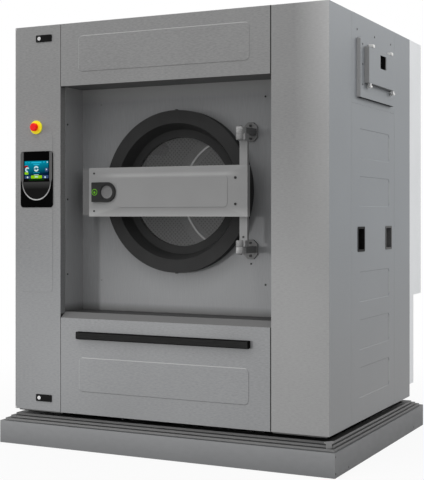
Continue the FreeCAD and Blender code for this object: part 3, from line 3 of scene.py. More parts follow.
import bmesh
import bpy
import math
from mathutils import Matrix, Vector


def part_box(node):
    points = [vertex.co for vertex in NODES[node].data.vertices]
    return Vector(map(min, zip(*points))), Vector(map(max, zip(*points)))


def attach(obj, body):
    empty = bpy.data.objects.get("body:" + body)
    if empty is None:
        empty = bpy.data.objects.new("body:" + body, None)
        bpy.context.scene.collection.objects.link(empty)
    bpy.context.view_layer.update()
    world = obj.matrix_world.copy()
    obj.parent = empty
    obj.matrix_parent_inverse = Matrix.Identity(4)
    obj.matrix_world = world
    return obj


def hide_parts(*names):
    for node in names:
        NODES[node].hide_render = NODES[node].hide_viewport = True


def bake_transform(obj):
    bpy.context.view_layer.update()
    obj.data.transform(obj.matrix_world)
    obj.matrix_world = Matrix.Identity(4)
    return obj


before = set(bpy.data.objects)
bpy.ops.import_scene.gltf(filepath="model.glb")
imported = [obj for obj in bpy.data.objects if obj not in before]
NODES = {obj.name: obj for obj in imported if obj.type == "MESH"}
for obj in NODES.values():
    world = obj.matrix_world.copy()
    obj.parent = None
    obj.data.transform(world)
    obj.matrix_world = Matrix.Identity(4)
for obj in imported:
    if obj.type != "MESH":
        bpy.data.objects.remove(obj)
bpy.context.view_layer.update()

# Camera
CAMERA_PLACE = (2.503, -5.222, 1.119)
CAMERA_TURN = 26.296
CAMERA_LENS = 83.43
CAMERA_SENSOR = 36.0
CAMERA_SHIFT = (0.0005, -0.0501)
CAMERA_REACH = 200.0

# Light: name, place, target, size and power of each soft lamp
AMBIENT = 0.74
LAMPS = (
    ("left", (-6.0, -3.2, 2.2), (0.0, -0.5, 1.2), 2.0, 51.0),
    ("over", (-0.6, -3.6, 6.0), (0.0, -0.5, 1.2), 2.0, 51.0),
    ("side", (4.4, 5.3, 4.0), (0.8, 0.0, 1.3), 1.0, 50.0),
    ("high", (6.5, 0.0, 4.0), (0.8, 0.0, 1.3), 2.0, 30.0),
)

# Low light from the left, whose cone ends at mid height
KEY_PLACE = (-6.2, -11.8, 0.9)
KEY_TARGET = (0.83, -0.69, -3.88)
KEY_CONE = 42.8
KEY_EDGE = 0.11
KEY_RADIUS = 0.5
KEY_POWER = 1320.0

# Floor
FLOOR_HALF = 30.0
FLOOR_SEEN = 0.85
FLOOR_BOUNCE = 0.3
FLOOR_GLOW = 0.9
FLOOR_FADE = (1.6, 3.2)

# Fine corners, and limits of the mesh work
FINE_RADIUS = 0.001
FINE_STEPS = 3
ON_AXIS = 1e-9
SAME_POINT = 1e-6
WELD_REACH = 0.00002
SHARP_ANGLE = 35

# Stretches of a noise that are spread from 0 to 1
NOISE_SPAN = (0.35, 0.65)
WIDE_SPAN = (0.3, 0.7)
DASH_SPAN = (0.36, 0.64)

# Brushed sheets
SHEET_METAL = 0.12
SHEET_ROUGH = 0.48
SHEET_GLOSS = 0.3
SHEET_RELIEF = 0.00003
DASH_ROUGH = 0.06
DASH_SHARE = 0.75
CLOUD_GRAIN = 2.5

# Grain of the metals, as repeats per metre
SHEET_GRAIN = (55.0, 55.0, 300.0)
UPRIGHT_GRAIN = (260.0, 260.0, 18.0)
PLINTH_GRAIN = (20.0, 20.0, 40.0)
STEP_GRAIN = (40.0, 40.0, 400.0)
BUMPER_GRAIN = (30.0, 30.0, 400.0)
BRIGHT_GRAIN = (60.0, 60.0, 300.0)
DRUM_GRAIN = (20.0, 160.0, 20.0)
SHAFT_GRAIN = (200.0, 9.0, 200.0)
TURNED_GRAIN = (160.0, 12.0, 160.0)

# Painted base, and satin paints: fine grain and clouds against the stated size
BASE_ROUGH = 0.5
SATIN_FINE = 9
SATIN_CLOUD = 12
SATIN_SHARE = 0.4
SATIN_ROUGH = 0.05

# Ways a face can look: axis, and where a change of tone, mostly painted light or shade, starts and ends
X, Y, Z = range(3)
UPWARD = (Z, 0.4, 0.6)
SILLWARD = (Z, 0.74, 0.8)
LEFTWARD = (X, -0.4, -0.6)
DOWNWARD = (Z, -0.75, -0.9)
RIGHTWARD = (X, 0.85, 0.95)
SIDEWARD = (X, 0.45, 0.6)
FORWARD = (Y, -0.85, -0.95)
FRONTWARD = (Y, -0.45, -0.65)

# Front sheets: heights between which they turn cooler, and the painted shade on their right edges
COOL_SPAN = (1.25, 0.9)
EDGE_FADE = 0.01
EDGE_SHADE = (0.2, 0.95)

# Recess sheets: a band of painted light below the ceiling, and one of painted shade above the shelf
CEILING_LIGHT_BAND = 0.075
SHELF_SHADE_BAND = (0.004, 0.045)

# Side sheets: heights between which their tone turns cool
SIDE_SPAN = (0.3, 1.1)

# Painted highlight along the upper right edge of the corner column
EDGE_HIGHLIGHT_INSET = 0.11
EDGE_HIGHLIGHT_FROM = 0.9

# Places where a piece changes its tone
KNUCKLE_Y = (-0.612, -0.622)
INNER_SCREW_Y = (-0.5015, -0.5)
SIDE_SCREW_X = (0.81, 0.82)
PALE_SCREW_X = (0.1, 0.0)
LID_LUG_Z = (1.7372, 1.7364)
CUP_REAR = 0.1

# Air springs
SPRING_X = 0.53
SPRING_Y = (-0.442, 0.282)
SPRING_NECK = 0.074
SPRING_BULGE = 0.103
SPRING_PLATE = 0.086
SPRING_PLATE_THICK = 0.009
SPRING_STEPS = 12
SPRING_SIDES = 40

# Touch panel
TRIM_PROUD = 0.0016
TRIM_TOP = 0.002
TRIM_EDGE = 0.0006
RAIL_OUTER = 0.0925
RAIL_INNER = 0.0765
ARC_OUTER = (0.0855, 0.087)
ARC_INNER = (0.0802, 0.0818)
ARC_DROP = 0.152
RAIL_TAPER = 0.016
DISPLAY_DROP = 0.148
ARC_STEPS = 48
SLATE_PROUD = 0.4
SLATE_FADE = 0.034
FRAME_PROUD = 0.7

# Lit screen
LIT_FROM = 0.095
LIT_EDGE = 0.0006
LIT_SLANT = 0.22
LIT_SPAN = (0.1, 0.8)
LIT_DIM = 0.85
SCREEN_GLOW = 0.35
SIGN_THICK = 0.0004

# Bars on the screen: paint of each group, then the shares of left, right, bottom and top, radius and layer
SCREEN_SIGNS = {
    "screen_bars": ("ui_cyan", (
        (0.284, 0.704, 0.863, 0.945), (0.024, 0.105, 0.885, 0.925, 0.0008),
        (0.15, 0.225, 0.885, 0.925, 0.0008), (0.374, 0.624, 0.765, 0.815),
        (0.37, 0.63, 0.322, 0.342, 0.0005), (0.785, 0.835, 0.88, 0.96),
    )),
    "screen_icons": ("ui_white", (
        (0.925, 0.97, 0.885, 0.955), (0.39, 0.59, 0.197, 0.228), (0.43, 0.565, 0.065, 0.12, 0.0015, 1),
    )),
    "screen_buttons": ("ui_blue", (
        (0.006, 0.255, 0.005, 0.15, 0.003), (0.752, 0.994, 0.01, 0.178, 0.003),
        (0.85, 0.994, 0.39, 0.59, 0.003),
    )),
    "screen_start": ("ui_green", (
        (0.268, 0.728, 0.005, 0.178, 0.003), (0.006, 0.16, 0.235, 0.375, 0.003),
    )),
    "screen_stop": ("ui_red", (
        (0.006, 0.144, 0.61, 0.74, 0.003),
    )),
    "screen_line": ("ui_dim", (
        (0.18, 0.82, -0.095, -0.045, 0.0008),
    )),
}

# Round icons on the screen: place by shares, radii and angles
DIAL_AT = (0.488, 0.553)
DIAL_RADII = (0.0062, 0.014)
DIAL_STARTS = (20, 200)
DIAL_SWEEP = 150
LOOP_AT = (0.12, 0.507)
LOOP_RADII = (0.0055, 0.0128)
LOOP_SPAN = (30, 290)
ARROW_AT = (0.92, 0.507)
ARROW_CORNERS = ((-0.004, -0.0045), (0.005, 0.0), (-0.004, 0.0045))
DOTS_AT = ((0.13, 0.075), (0.86, 0.075))
DOT_RADIUS = 0.0045
DOT_STEPS = 20

# Column field round the controls
FIELD_X = (-0.797, -0.602)
FIELD_Z = (0.745, 1.522)
FIELD_RISE = 0.0012
FIELD_RADIUS = 0.022
FIELD_EDGE = 0.001
FIELD_STEPS = 8

# Beam field, and the painted highlights on the bend above it and on the fold below it
BEAM_FIELD_X = (-0.263, 0.325)
BEAM_FIELD_Z = (1.1595, 1.3075)
BEAM_FIELD_RISE = 0.0018
BEAM_FIELD_EDGE = 0.0016
BEND_RISE = 0.004
BEND_HALF = (0.014, 0.002)
BEND_LEFT = (0.04, 0.16)
BEND_RIGHT = (0.03, 0.1)
FOLD_EDGE = (0.003, 0.001)

# Drum
HOLE_PITCH = 0.016
HOLE_TURN = 45
HOLE_SHARE = 0.27
HOLE_EDGE = 0.05
PLAIN_BAND = (0.27, 0.345)
BAND_EDGE = 0.002
RIDGE = (0.29, 0.301)
RIDGE_EDGE = 0.001
RIDGE_SHEEN = 0.14

# Release button
DISH_DEPTH = 0.005
DISH_RIM = 0.0006
DISH_RIM_EDGE = 0.0002
DISH_SHOULDER = 0.0015
DISH_CHAMFER = 0.0006
DISH_CROWN = 0.002
DISH_LIP = 0.003
DISH_FALL = 0.0004
DISH_STEPS = 12
DISH_CURVE = 6

# Lock sign
SIGN_INSET = 0.018
SIGN_RADIUS = 0.0155
SIGN_RING = 0.0025
SIGN_RISE = 0.0006
PADLOCK_HALF = 0.005
PADLOCK_Z = (0.006, 0.0005)
SHACKLE_UP = 0.001
SHACKLE_RADII = (0.0024, 0.0042)

# Rim lugs and key slots
LUG_HALF = 0.004
LUG_RADIUS = 0.0015
LUG_DEPTH = (0.02, 0.003)
SLOT_INSET = 0.009
SLOT_HALF = (0.0006, 0.003)
SLOT_RADIUS = 0.0004
SLOT_RISE = 0.0003

# Edge seals of the front panels, at their right edges
SEAL_X = (0.5527, 0.5574)
SEAL_PROUD = 0.0003
SEAL_DEEP = 0.002
SILL_DROP = 0.027

# Side seams
SEAM_SINK = 0.0004
SEAM_GAP = 0.0001
SEAM_DEEP = 0.002

# Screws sunk in the plinth's ends: distance behind the cabinet's front, and height
PLINTH_SCREWS = ((-0.045, 0.019), (-0.045, 0.091), (0.121, 0.016), (1.141, 0.018))
PLINTH_SCREW_RADIUS = 0.0045
PLINTH_SCREW_FACE = 0.0006
PLINTH_SCREW_FOOT = 0.0028
PLINTH_SCREW_SIDES = 16

# Profile of a plinth screw: shares of its radius, and depths below its face
PLINTH_SCREW_HEAD = ((1.0, 0.0004), (0.85, 0.0), (0.5, 0.0), (0.45, 0.0012), (0.0, 0.0012))

# Screws of the back panel, with their profile as shares of radius and rise
SCREW_RADIUS = 0.007
SCREW_RISE = 0.003
SCREW_EDGE = 0.022
SCREW_ROWS = 7
SCREW_COLUMNS = 4
SCREW_CLEAR = 0.02
SCREW_FREE_FROM = 0.75
SCREW_SIDES = 18
SCREW_PROFILE = ((0.0, 0.3), (0.42, 0.3), (0.45, 1.0), (0.8, 0.85), (1.0, 0.4), (1.0, 0.0), (0.0, 0.0))

# Louvres of the back panel, with the section of one hood
LOUVRE_X = (-0.66, -0.26)
LOUVRE_Z = 0.3
LOUVRE_PITCH = 0.036
LOUVRE_COUNT = 8
LOUVRE_END = 0.012
LOUVRE_STEPS = 6
LOUVRE_TIP = 0.04
LOUVRE_SECTION = (
    (0.0, 0.013), (0.004, 0.0115), (0.0075, 0.007), (0.009, 0.0), (0.009, -0.008), (0.0, -0.008),
)

# Bare plate on the back, with the profile of its rivets
PLATE_X = (-0.74, -0.58)
PLATE_Z = (1.42, 1.53)
PLATE_RISE = 0.0012
PLATE_RADIUS = 0.006
PLATE_STEPS = 5
RIVET_INSET = 0.009
RIVET_SIDES = 14
RIVET_DOME = ((0.0, 0.0014), (0.002, 0.001), (0.003, 0.0), (0.0, -0.0004))


def linear(level):
    """Linear value of a display value from 0 to 255."""
    share = level / 255
    if share <= 0.04045:
        return share / 12.92
    return ((share + 0.055) / 1.055) ** 2.4


def colour(red, green, blue):
    return (linear(red), linear(green), linear(blue), 1.0)


def grey(level):
    return colour(level, level, level)


def cool(level):
    """Grey with a faint cast of blue."""
    return colour(level - 0.9, level, level + 1.3)


def even(size):
    """The same scale along each axis."""
    return (size, size, size)


class Paint:
    """A material whose nodes feed one principled shader."""

    def __init__(self, name, metallic, roughness, specular):
        self.material = bpy.data.materials.new(name)
        self.material.use_nodes = True
        self.tree = self.material.node_tree
        self.shader = self.tree.nodes["Principled BSDF"]
        self.put("Metallic", metallic)
        self.put("Roughness", roughness)
        self.put("Specular IOR Level", specular)

    def node(self, kind, **settings):
        made = self.tree.nodes.new(kind)
        for name, value in settings.items():
            setattr(made, name, value)
        return made

    def feed(self, source, target):
        """Links a socket, or sets a plain value."""
        if isinstance(source, bpy.types.NodeSocket):
            self.tree.links.new(source, target)
        else:
            target.default_value = source

    def put(self, name, source):
        self.feed(source, self.shader.inputs[name])

    def tint(self, tone):
        self.put("Base Color", tone)
        return self

    def shine(self, tone, strength):
        """Sets a tone that also glows by itself."""
        self.put("Emission Color", tone)
        self.put("Emission Strength", strength)
        return self.tint(tone)

    def place(self, scale):
        """The object's own coordinates, stretched along each axis."""
        coords = self.node("ShaderNodeTexCoord")
        mapping = self.node("ShaderNodeMapping")
        mapping.inputs["Scale"].default_value = scale
        self.feed(coords.outputs["Object"], mapping.inputs["Vector"])
        return mapping.outputs["Vector"]

    def spot(self):
        """The object's own x, y and z."""
        return self.axes(self.place(even(1.0)))

    def noise(self, scale, detail=2.0):
        made = self.node("ShaderNodeTexNoise")
        made.inputs["Scale"].default_value = 1.0
        made.inputs["Detail"].default_value = detail
        self.feed(self.place(scale), made.inputs["Vector"])
        return made.outputs["Fac"]

    def grain(self, scale, detail=2.0, span=NOISE_SPAN):
        """Noise that is spread from 0 to 1."""
        return self.fit(self.noise(scale, detail), *span)

    def math(self, operation, first, second=0.0):
        made = self.node("ShaderNodeMath", operation=operation)
        self.feed(first, made.inputs[0])
        self.feed(second, made.inputs[1])
        return made.outputs[0]

    def times(self, first, second):
        return self.math("MULTIPLY", first, second)

    def weigh(self, first, share, second):
        """Share of the first value plus the rest of the second."""
        return self.math("ADD", self.times(first, share), self.times(second, 1 - share))

    def reach(self, first, second):
        """Distance from the middle, from the distances along two axes."""
        return self.math("SQRT", self.math("ADD", self.times(first, first), self.times(second, second)))

    def axes(self, vector):
        made = self.node("ShaderNodeSeparateXYZ")
        self.feed(vector, made.inputs[0])
        return made.outputs

    def fit(self, value, low, high, start=0.0, end=1.0):
        """Maps the stretch from low to high to start and end."""
        made = self.node("ShaderNodeMapRange")
        for index, source in enumerate((value, low, high, start, end)):
            self.feed(source, made.inputs[index])
        return made.outputs[0]

    def mix(self, factor, first, second):
        made = self.node("ShaderNodeMix", data_type="RGBA")
        self.feed(factor, made.inputs[0])
        self.feed(first, made.inputs[6])
        self.feed(second, made.inputs[7])
        return made.outputs[2]

    def greys(self, level, dark, light):
        return self.mix(level, grey(dark), grey(light))

    def cools(self, level, dark, light):
        return self.mix(level, cool(dark), cool(light))

    def along(self, axis, start, end):
        """How far a point of the object lies from start to end, from 0 to 1."""
        return self.fit(self.spot()[axis], start, end)

    def facing(self, way):
        """How fully a face looks one way of the object, from 0 to 1."""
        axis, start, end = way
        coords = self.node("ShaderNodeTexCoord")
        return self.fit(self.axes(coords.outputs["Normal"])[axis], start, end)

    def darken(self, tone, shades):
        """Paints shade on the faces that look given ways, taking their tone and gloss down by a share."""
        gloss = SHEET_GLOSS
        for way, share in shades:
            keep = self.math("SUBTRACT", 1.0, self.times(self.facing(way), share))
            tone = self.mix(keep, grey(0), tone)
            gloss = self.times(keep, gloss)
        self.put("Specular IOR Level", gloss)
        return tone

    def bump(self, height, distance):
        made = self.node("ShaderNodeBump")
        made.inputs["Strength"].default_value = 1.0
        made.inputs["Distance"].default_value = distance
        self.feed(height, made.inputs["Height"])
        self.put("Normal", made.outputs["Normal"])
        return self


def grain_level(paint, grain, roughness):
    """Grain dashes with a faint cloudiness, which also set the gloss and the relief."""
    dashes = paint.noise(grain)
    paint.put("Roughness", paint.fit(dashes, *WIDE_SPAN, roughness - DASH_ROUGH, roughness + DASH_ROUGH))
    paint.bump(dashes, SHEET_RELIEF)
    return paint.fit(paint.weigh(dashes, DASH_SHARE, paint.noise(even(CLOUD_GRAIN))), *DASH_SPAN)


def brushed(name, dark, light, grain, metallic, roughness):
    """Bare metal with short grain dashes and a faint cloudiness."""
    paint = Paint(name, metallic, roughness, SHEET_GLOSS)
    return paint.tint(paint.mix(grain_level(paint, grain, roughness), dark, light))


def sheet(name, grain=SHEET_GRAIN):
    """Paint of brushed sheet steel, and the level of its grain from 0 to 1."""
    paint = Paint(name, SHEET_METAL, SHEET_ROUGH, SHEET_GLOSS)
    return paint, grain_level(paint, grain, SHEET_ROUGH)


def front_steel():
    """Front sheets, cooler below: painted highlights on slopes that look left and up, painted shade on the
    sill, on faces that look down and on the right edges above and below the recess.
    """
    paint, level = sheet("front_steel")
    low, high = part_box("recess_liners")
    face = paint.mix(paint.along(Z, *COOL_SPAN), paint.greys(level, 142, 157), paint.cools(level, 137, 151))
    # Painted highlight on the slopes that look left or up, and painted shade on the sill and on faces that
    # look down
    bend = paint.math("MAXIMUM", paint.facing(LEFTWARD), paint.facing(UPWARD))
    tone = paint.darken(paint.mix(bend, face, grey(196)), ((SILLWARD, 0.65), (DOWNWARD, 0.7)))
    # Painted shade on the right edges, above and below the recess
    below, above = paint.along(Z, low.z, low.z - EDGE_FADE), paint.along(Z, high.z - EDGE_FADE, high.z)
    dark = paint.fit(paint.math("ADD", below, above), 0.0, 1.0, *EDGE_SHADE)
    return paint.tint(paint.mix(paint.times(paint.facing(RIGHTWARD), dark), tone, grey(0)))


def recess_steel():
    """Recess sheets: painted light on the left wall and below the ceiling, painted shade on the shelf, on
    the ceiling and in a soft band above the shelf.
    """
    paint, level = sheet("recess_steel", UPRIGHT_GRAIN)
    low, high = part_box("recess_liners")
    # Painted light on the left wall, whose faces look right, and in a band below the ceiling
    tone = paint.mix(paint.facing(RIGHTWARD), paint.cools(level, 138, 145), paint.cools(level, 151, 158))
    tone = paint.mix(paint.along(Z, high.z - CEILING_LIGHT_BAND, high.z), tone, grey(176))
    # Painted shade in a band above the shelf, and on the faces of the shelf and the ceiling
    tone = paint.mix(paint.along(Z, low.z + SHELF_SHADE_BAND[1], low.z + SHELF_SHADE_BAND[0]), tone, grey(92))
    return paint.tint(paint.darken(tone, ((UPWARD, 0.5), (DOWNWARD, 0.68))))


def side_tone(paint, level):
    """Cool tone of the side sheets, which turns neutral towards the floor."""
    high = paint.mix(level, colour(142, 146, 150), colour(149, 153, 157))
    return paint.mix(paint.along(Z, *SIDE_SPAN), paint.cools(level, 139, 146), high)


def side_steel():
    """Side sheets: painted shade on the faces that look down, and painted light on those that look to the
    front.
    """
    paint, level = sheet("side_steel")
    tone = paint.darken(side_tone(paint, level), ((DOWNWARD, 0.95),))
    return paint.tint(paint.mix(paint.facing(FRONTWARD), tone, paint.greys(level, 182, 190)))


def corner_steel():
    """Corner column: front tone with a painted highlight towards its upper right edge, and side tone on its
    side.
    """
    paint, level = sheet("corner_steel")
    low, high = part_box("right_column")
    edge = paint.along(X, low.x + EDGE_HIGHLIGHT_INSET, high.x)
    edge_highlight = paint.times(edge, paint.along(Z, EDGE_HIGHLIGHT_FROM, high.z))
    front = paint.mix(edge_highlight, paint.greys(level, 146, 157), paint.greys(level, 192, 202))
    return paint.tint(paint.mix(paint.facing(SIDEWARD), front, side_tone(paint, level)))


def lid_steel():
    """Lid sheet in the side's tone, with painted shade on faces that look down, painted light on those that
    look to the front, and white lugs below its lower edge.
    """
    paint, level = sheet("lid_steel")
    tone = paint.darken(side_tone(paint, level), ((DOWNWARD, 0.97),))
    tone = paint.mix(paint.facing(FRONTWARD), tone, paint.greys(level, 160, 168))
    return paint.tint(paint.mix(paint.along(Z, *LID_LUG_Z), tone, paint.greys(level, 248, 255)))


def satin(name, dark, light, size=90.0, metallic=0.0, roughness=0.5, specular=0.3, relief=0.00008, glow=0.0):
    """Paint or plastic with a fine grain, a slight change of tone and, where asked, a painted glow."""
    paint = Paint(name, metallic, roughness, specular)
    grain = paint.noise(even(size * SATIN_FINE))
    level = paint.weigh(grain, SATIN_SHARE, paint.noise(even(size / SATIN_CLOUD)))
    paint.shine(paint.mix(paint.fit(level, *NOISE_SPAN), dark, light), glow)
    paint.put("Roughness", paint.fit(grain, *WIDE_SPAN, roughness - SATIN_ROUGH, roughness + SATIN_ROUGH))
    return paint.bump(grain, relief)


def plinth_paint():
    """Plinth paint that darkens towards the floor, with painted shade on its top and its right side."""
    paint = Paint("base_paint", 0.1, BASE_ROUGH, 0.3)
    level = grain_level(paint, PLINTH_GRAIN, BASE_ROUGH)
    low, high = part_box("base_plinth")
    foot, top = paint.cools(level, 115, 120), paint.cools(level, 139, 144)
    tone = paint.mix(paint.along(Z, low.z, high.z), foot, top)
    return paint.tint(paint.darken(tone, ((UPWARD, 0.6), (RIGHTWARD, 0.26))))


def stepped():
    """Skirt paint: painted shade on the treads, lighter risers, and painted shade on the front and back
    risers that grows upwards, towards the cabinet.
    """
    paint = Paint("step_paint", 0.1, BASE_ROUGH, 0.25)
    grain = paint.grain(STEP_GRAIN)
    low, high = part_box("base_steps")
    side = paint.math("MAXIMUM", paint.facing(LEFTWARD), paint.facing(RIGHTWARD))
    # Painted shade on the front and back risers, growing upwards
    dim = paint.times(paint.along(Z, low.z, high.z), paint.math("SUBTRACT", 1.0, side))
    riser = paint.mix(dim, paint.greys(grain, 128, 136), paint.greys(grain, 98, 106))
    paint.tint(paint.mix(paint.facing(UPWARD), riser, paint.greys(grain, 46, 54)))
    return paint.bump(grain, 0.0001)


def beam_satin():
    """Bead-blasted beam: a painted highlight along the bend above the field, and a painted highlight on the
    fold below it, stronger towards its edge.
    """
    paint = Paint("beam_satin", 0.1, 0.5, 0.25)
    low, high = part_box("door_beam")
    x, _, z = paint.spot()
    grain = paint.noise(even(420.0))
    level = paint.fit(paint.weigh(grain, 0.5, paint.noise(even(5.0))), *NOISE_SPAN)
    # Painted highlight along the bend above the field, fading out towards both ends
    off = paint.math("ABSOLUTE", paint.math("SUBTRACT", z, BEAM_FIELD_Z[1] + BEND_RISE))
    left = paint.fit(x, low.x + BEND_LEFT[0], low.x + BEND_LEFT[1])
    right = paint.fit(x, high.x - BEND_RIGHT[0], high.x - BEND_RIGHT[1])
    bend = paint.times(paint.fit(off, *BEND_HALF), paint.times(left, right))
    tone = paint.mix(bend, paint.greys(level, 144, 151), paint.greys(level, 162, 170))
    # Painted highlight on the fold below the field, stronger towards its lower edge
    edge = paint.fit(z, low.z - FOLD_EDGE[0], low.z - FOLD_EDGE[1])
    fold_highlight = paint.times(paint.fit(z, BEAM_FIELD_Z[0], low.z), edge)
    paint.tint(paint.mix(fold_highlight, tone, paint.greys(level, 172, 180)))
    return paint.bump(grain, 0.00006)


def hinge_steel():
    """Cast hinge: turned knuckles bright in front, plates and arms darker behind."""
    paint = Paint("hinge_steel", 0.1, 0.45, 0.2)
    grain = paint.grain(BRIGHT_GRAIN, 3.0)
    plate, knuckle = paint.greys(grain, 106, 120), paint.greys(grain, 152, 186)
    paint.tint(paint.mix(paint.along(Y, *KNUCKLE_Y), plate, knuckle))
    return paint.bump(grain, 0.00004)


def screw_heads():
    """Small screws: black in front, in the sheet's tone on the left of the recess wall, grey on the side."""
    paint = Paint("panel_screws", 0.3, 0.45, 0.3)
    grain = paint.grain(even(900.0), span=WIDE_SPAN)
    pale = paint.times(paint.along(Y, *INNER_SCREW_Y), paint.along(X, *PALE_SCREW_X))
    front = paint.mix(pale, paint.greys(grain, 26, 36), paint.greys(grain, 118, 128))
    paint.tint(paint.mix(paint.along(X, *SIDE_SCREW_X), front, paint.greys(grain, 96, 106)))
    return paint.bump(grain, 0.00005)


def bumper_black():
    """Bumper bar with a plain face, and painted shade that keeps the faces that don't look forward near
    black.
    """
    paint = Paint("bumper_black", 0.0, 0.6, 0.02)
    level = paint.grain(BUMPER_GRAIN)
    edge, face = paint.greys(level, 10, 16), paint.greys(level, 41, 48)
    paint.tint(paint.mix(paint.facing(FORWARD), edge, face))
    return paint.bump(level, 0.00005)


def cup_black():
    """Grip cups: the front one black inside, the rear one lighter inside as painted light."""
    paint = Paint("cup_black", 0.0, 0.5, 0.05)
    low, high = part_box("grip_cups")
    level = paint.grain(even(160.0))
    # Painted light inside the rear cup
    front, rear = paint.greys(level, 24, 32), paint.greys(level, 98, 108)
    paint.tint(paint.mix(paint.along(Y, (low.y + high.y) / 2, high.y - CUP_REAR), front, rear))
    return paint.bump(level, 0.00005)


def dish_grey():
    """Release button: grey dish in a black rim."""
    paint = Paint("button_grey", 0.0, 0.45, 0.2)
    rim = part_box("release_button")[0].y + DISH_RIM
    level = paint.grain(even(400.0))
    dish, edge = paint.greys(level, 116, 124), paint.greys(level, 28, 34)
    return paint.tint(paint.mix(paint.along(Y, rim, rim - DISH_RIM_EDGE), dish, edge))


def hole_level(paint, across, along):
    """Pattern of staggered holes: 0 in a hole and 1 on the sheet."""
    flat = paint.node("ShaderNodeCombineXYZ")
    paint.feed(across, flat.inputs[0])
    paint.feed(along, flat.inputs[1])
    slant = paint.node("ShaderNodeMapping")
    slant.inputs["Rotation"].default_value = (0.0, 0.0, math.radians(HOLE_TURN))
    slant.inputs["Scale"].default_value = (1 / HOLE_PITCH, 1 / HOLE_PITCH, 1.0)
    paint.feed(flat.outputs[0], slant.inputs["Vector"])
    cells = paint.node("ShaderNodeTexVoronoi", voronoi_dimensions="2D")
    cells.inputs["Scale"].default_value = 1.0
    cells.inputs["Randomness"].default_value = 0.0
    paint.feed(slant.outputs[0], cells.inputs["Vector"])
    return paint.fit(cells.outputs["Distance"], HOLE_SHARE - HOLE_EDGE, HOLE_SHARE + HOLE_EDGE)


def perforated(name, round_wall):
    """Drum sheet with staggered holes: rolled, or flat with a plain band and a ridge that carries a painted
    highlight and a faint painted glow.
    """
    paint = Paint(name, 0.05, 0.6, 0.1)
    low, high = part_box("drum_shell")
    x, y, z = paint.spot()
    up = paint.math("SUBTRACT", z, (low.z + high.z) / 2)
    tone = paint.mix(paint.noise(even(30.0)), grey(232), grey(242))
    if round_wall:
        level = hole_level(paint, paint.times(paint.math("ARCTAN2", up, x), high.x), y)
    else:
        reach = paint.reach(x, up)
        outside = paint.fit(reach, PLAIN_BAND[1], PLAIN_BAND[1] + BAND_EDGE)
        inside = paint.fit(reach, PLAIN_BAND[0], PLAIN_BAND[0] - BAND_EDGE)
        plain = paint.math("SUBTRACT", 1.0, paint.math("ADD", outside, inside))
        level = paint.math("MAXIMUM", hole_level(paint, x, up), plain)
        rise = paint.fit(reach, RIDGE[0], RIDGE[0] + RIDGE_EDGE)
        ridge = paint.times(rise, paint.fit(reach, RIDGE[1], RIDGE[1] - RIDGE_EDGE))
        # Painted highlight on the ridge: white, with a faint painted glow
        tone = paint.mix(ridge, tone, grey(255))
        paint.put("Emission Color", grey(255))
        paint.put("Emission Strength", paint.times(ridge, RIDGE_SHEEN))
    paint.tint(paint.mix(level, grey(200), tone))
    return paint.bump(level, 0.0002)


def display():
    """Lit screen that fades from blue-green at the top to navy, with a black strip at its foot."""
    paint = Paint("screen_glow", 0.0, 0.4, 0.01)
    low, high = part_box("touch_screen")
    foot = low.z + LIT_FROM * (high.z - low.z)
    x, _, z = paint.spot()
    level = paint.math("SUBTRACT", paint.fit(z, foot, high.z), paint.fit(x, low.x, high.x, 0.0, LIT_SLANT))
    tone = paint.mix(paint.fit(level, *LIT_SPAN), colour(2, 26, 52), colour(0, 132, 156))
    return paint.shine(paint.mix(paint.fit(z, foot, foot - LIT_EDGE), tone, grey(8)), SCREEN_GLOW)


def lit(name, shade, strength=SCREEN_GLOW):
    """Flat screen graphic that glows a little unevenly."""
    paint = Paint(name, 0.0, 0.5, 0.02)
    dim = tuple(LIT_DIM * part for part in shade[:3]) + (1.0,)
    return paint.shine(paint.mix(paint.noise(even(60.0)), dim, shade), strength)


def faded(name, bottom, top, shade_low, shade_high, metallic, roughness):
    """Trim whose tone changes from one height to another."""
    paint = Paint(name, metallic, roughness, 0.05)
    level = paint.weigh(paint.along(Z, bottom, top), 0.96, paint.noise(even(300.0)))
    return paint.tint(paint.mix(level, shade_low, shade_high))


def glazing(name, shade, opacity, specular):
    """Glass with faint smears, as a veil of one tone."""
    paint = Paint(name, 0.0, 0.04, specular)
    smears = paint.noise((14.0, 14.0, 9.0), 3.0)
    paint.put("Alpha", opacity)
    paint.put("Roughness", paint.fit(smears, *WIDE_SPAN, 0.2, 0.3))
    return paint.tint(shade)


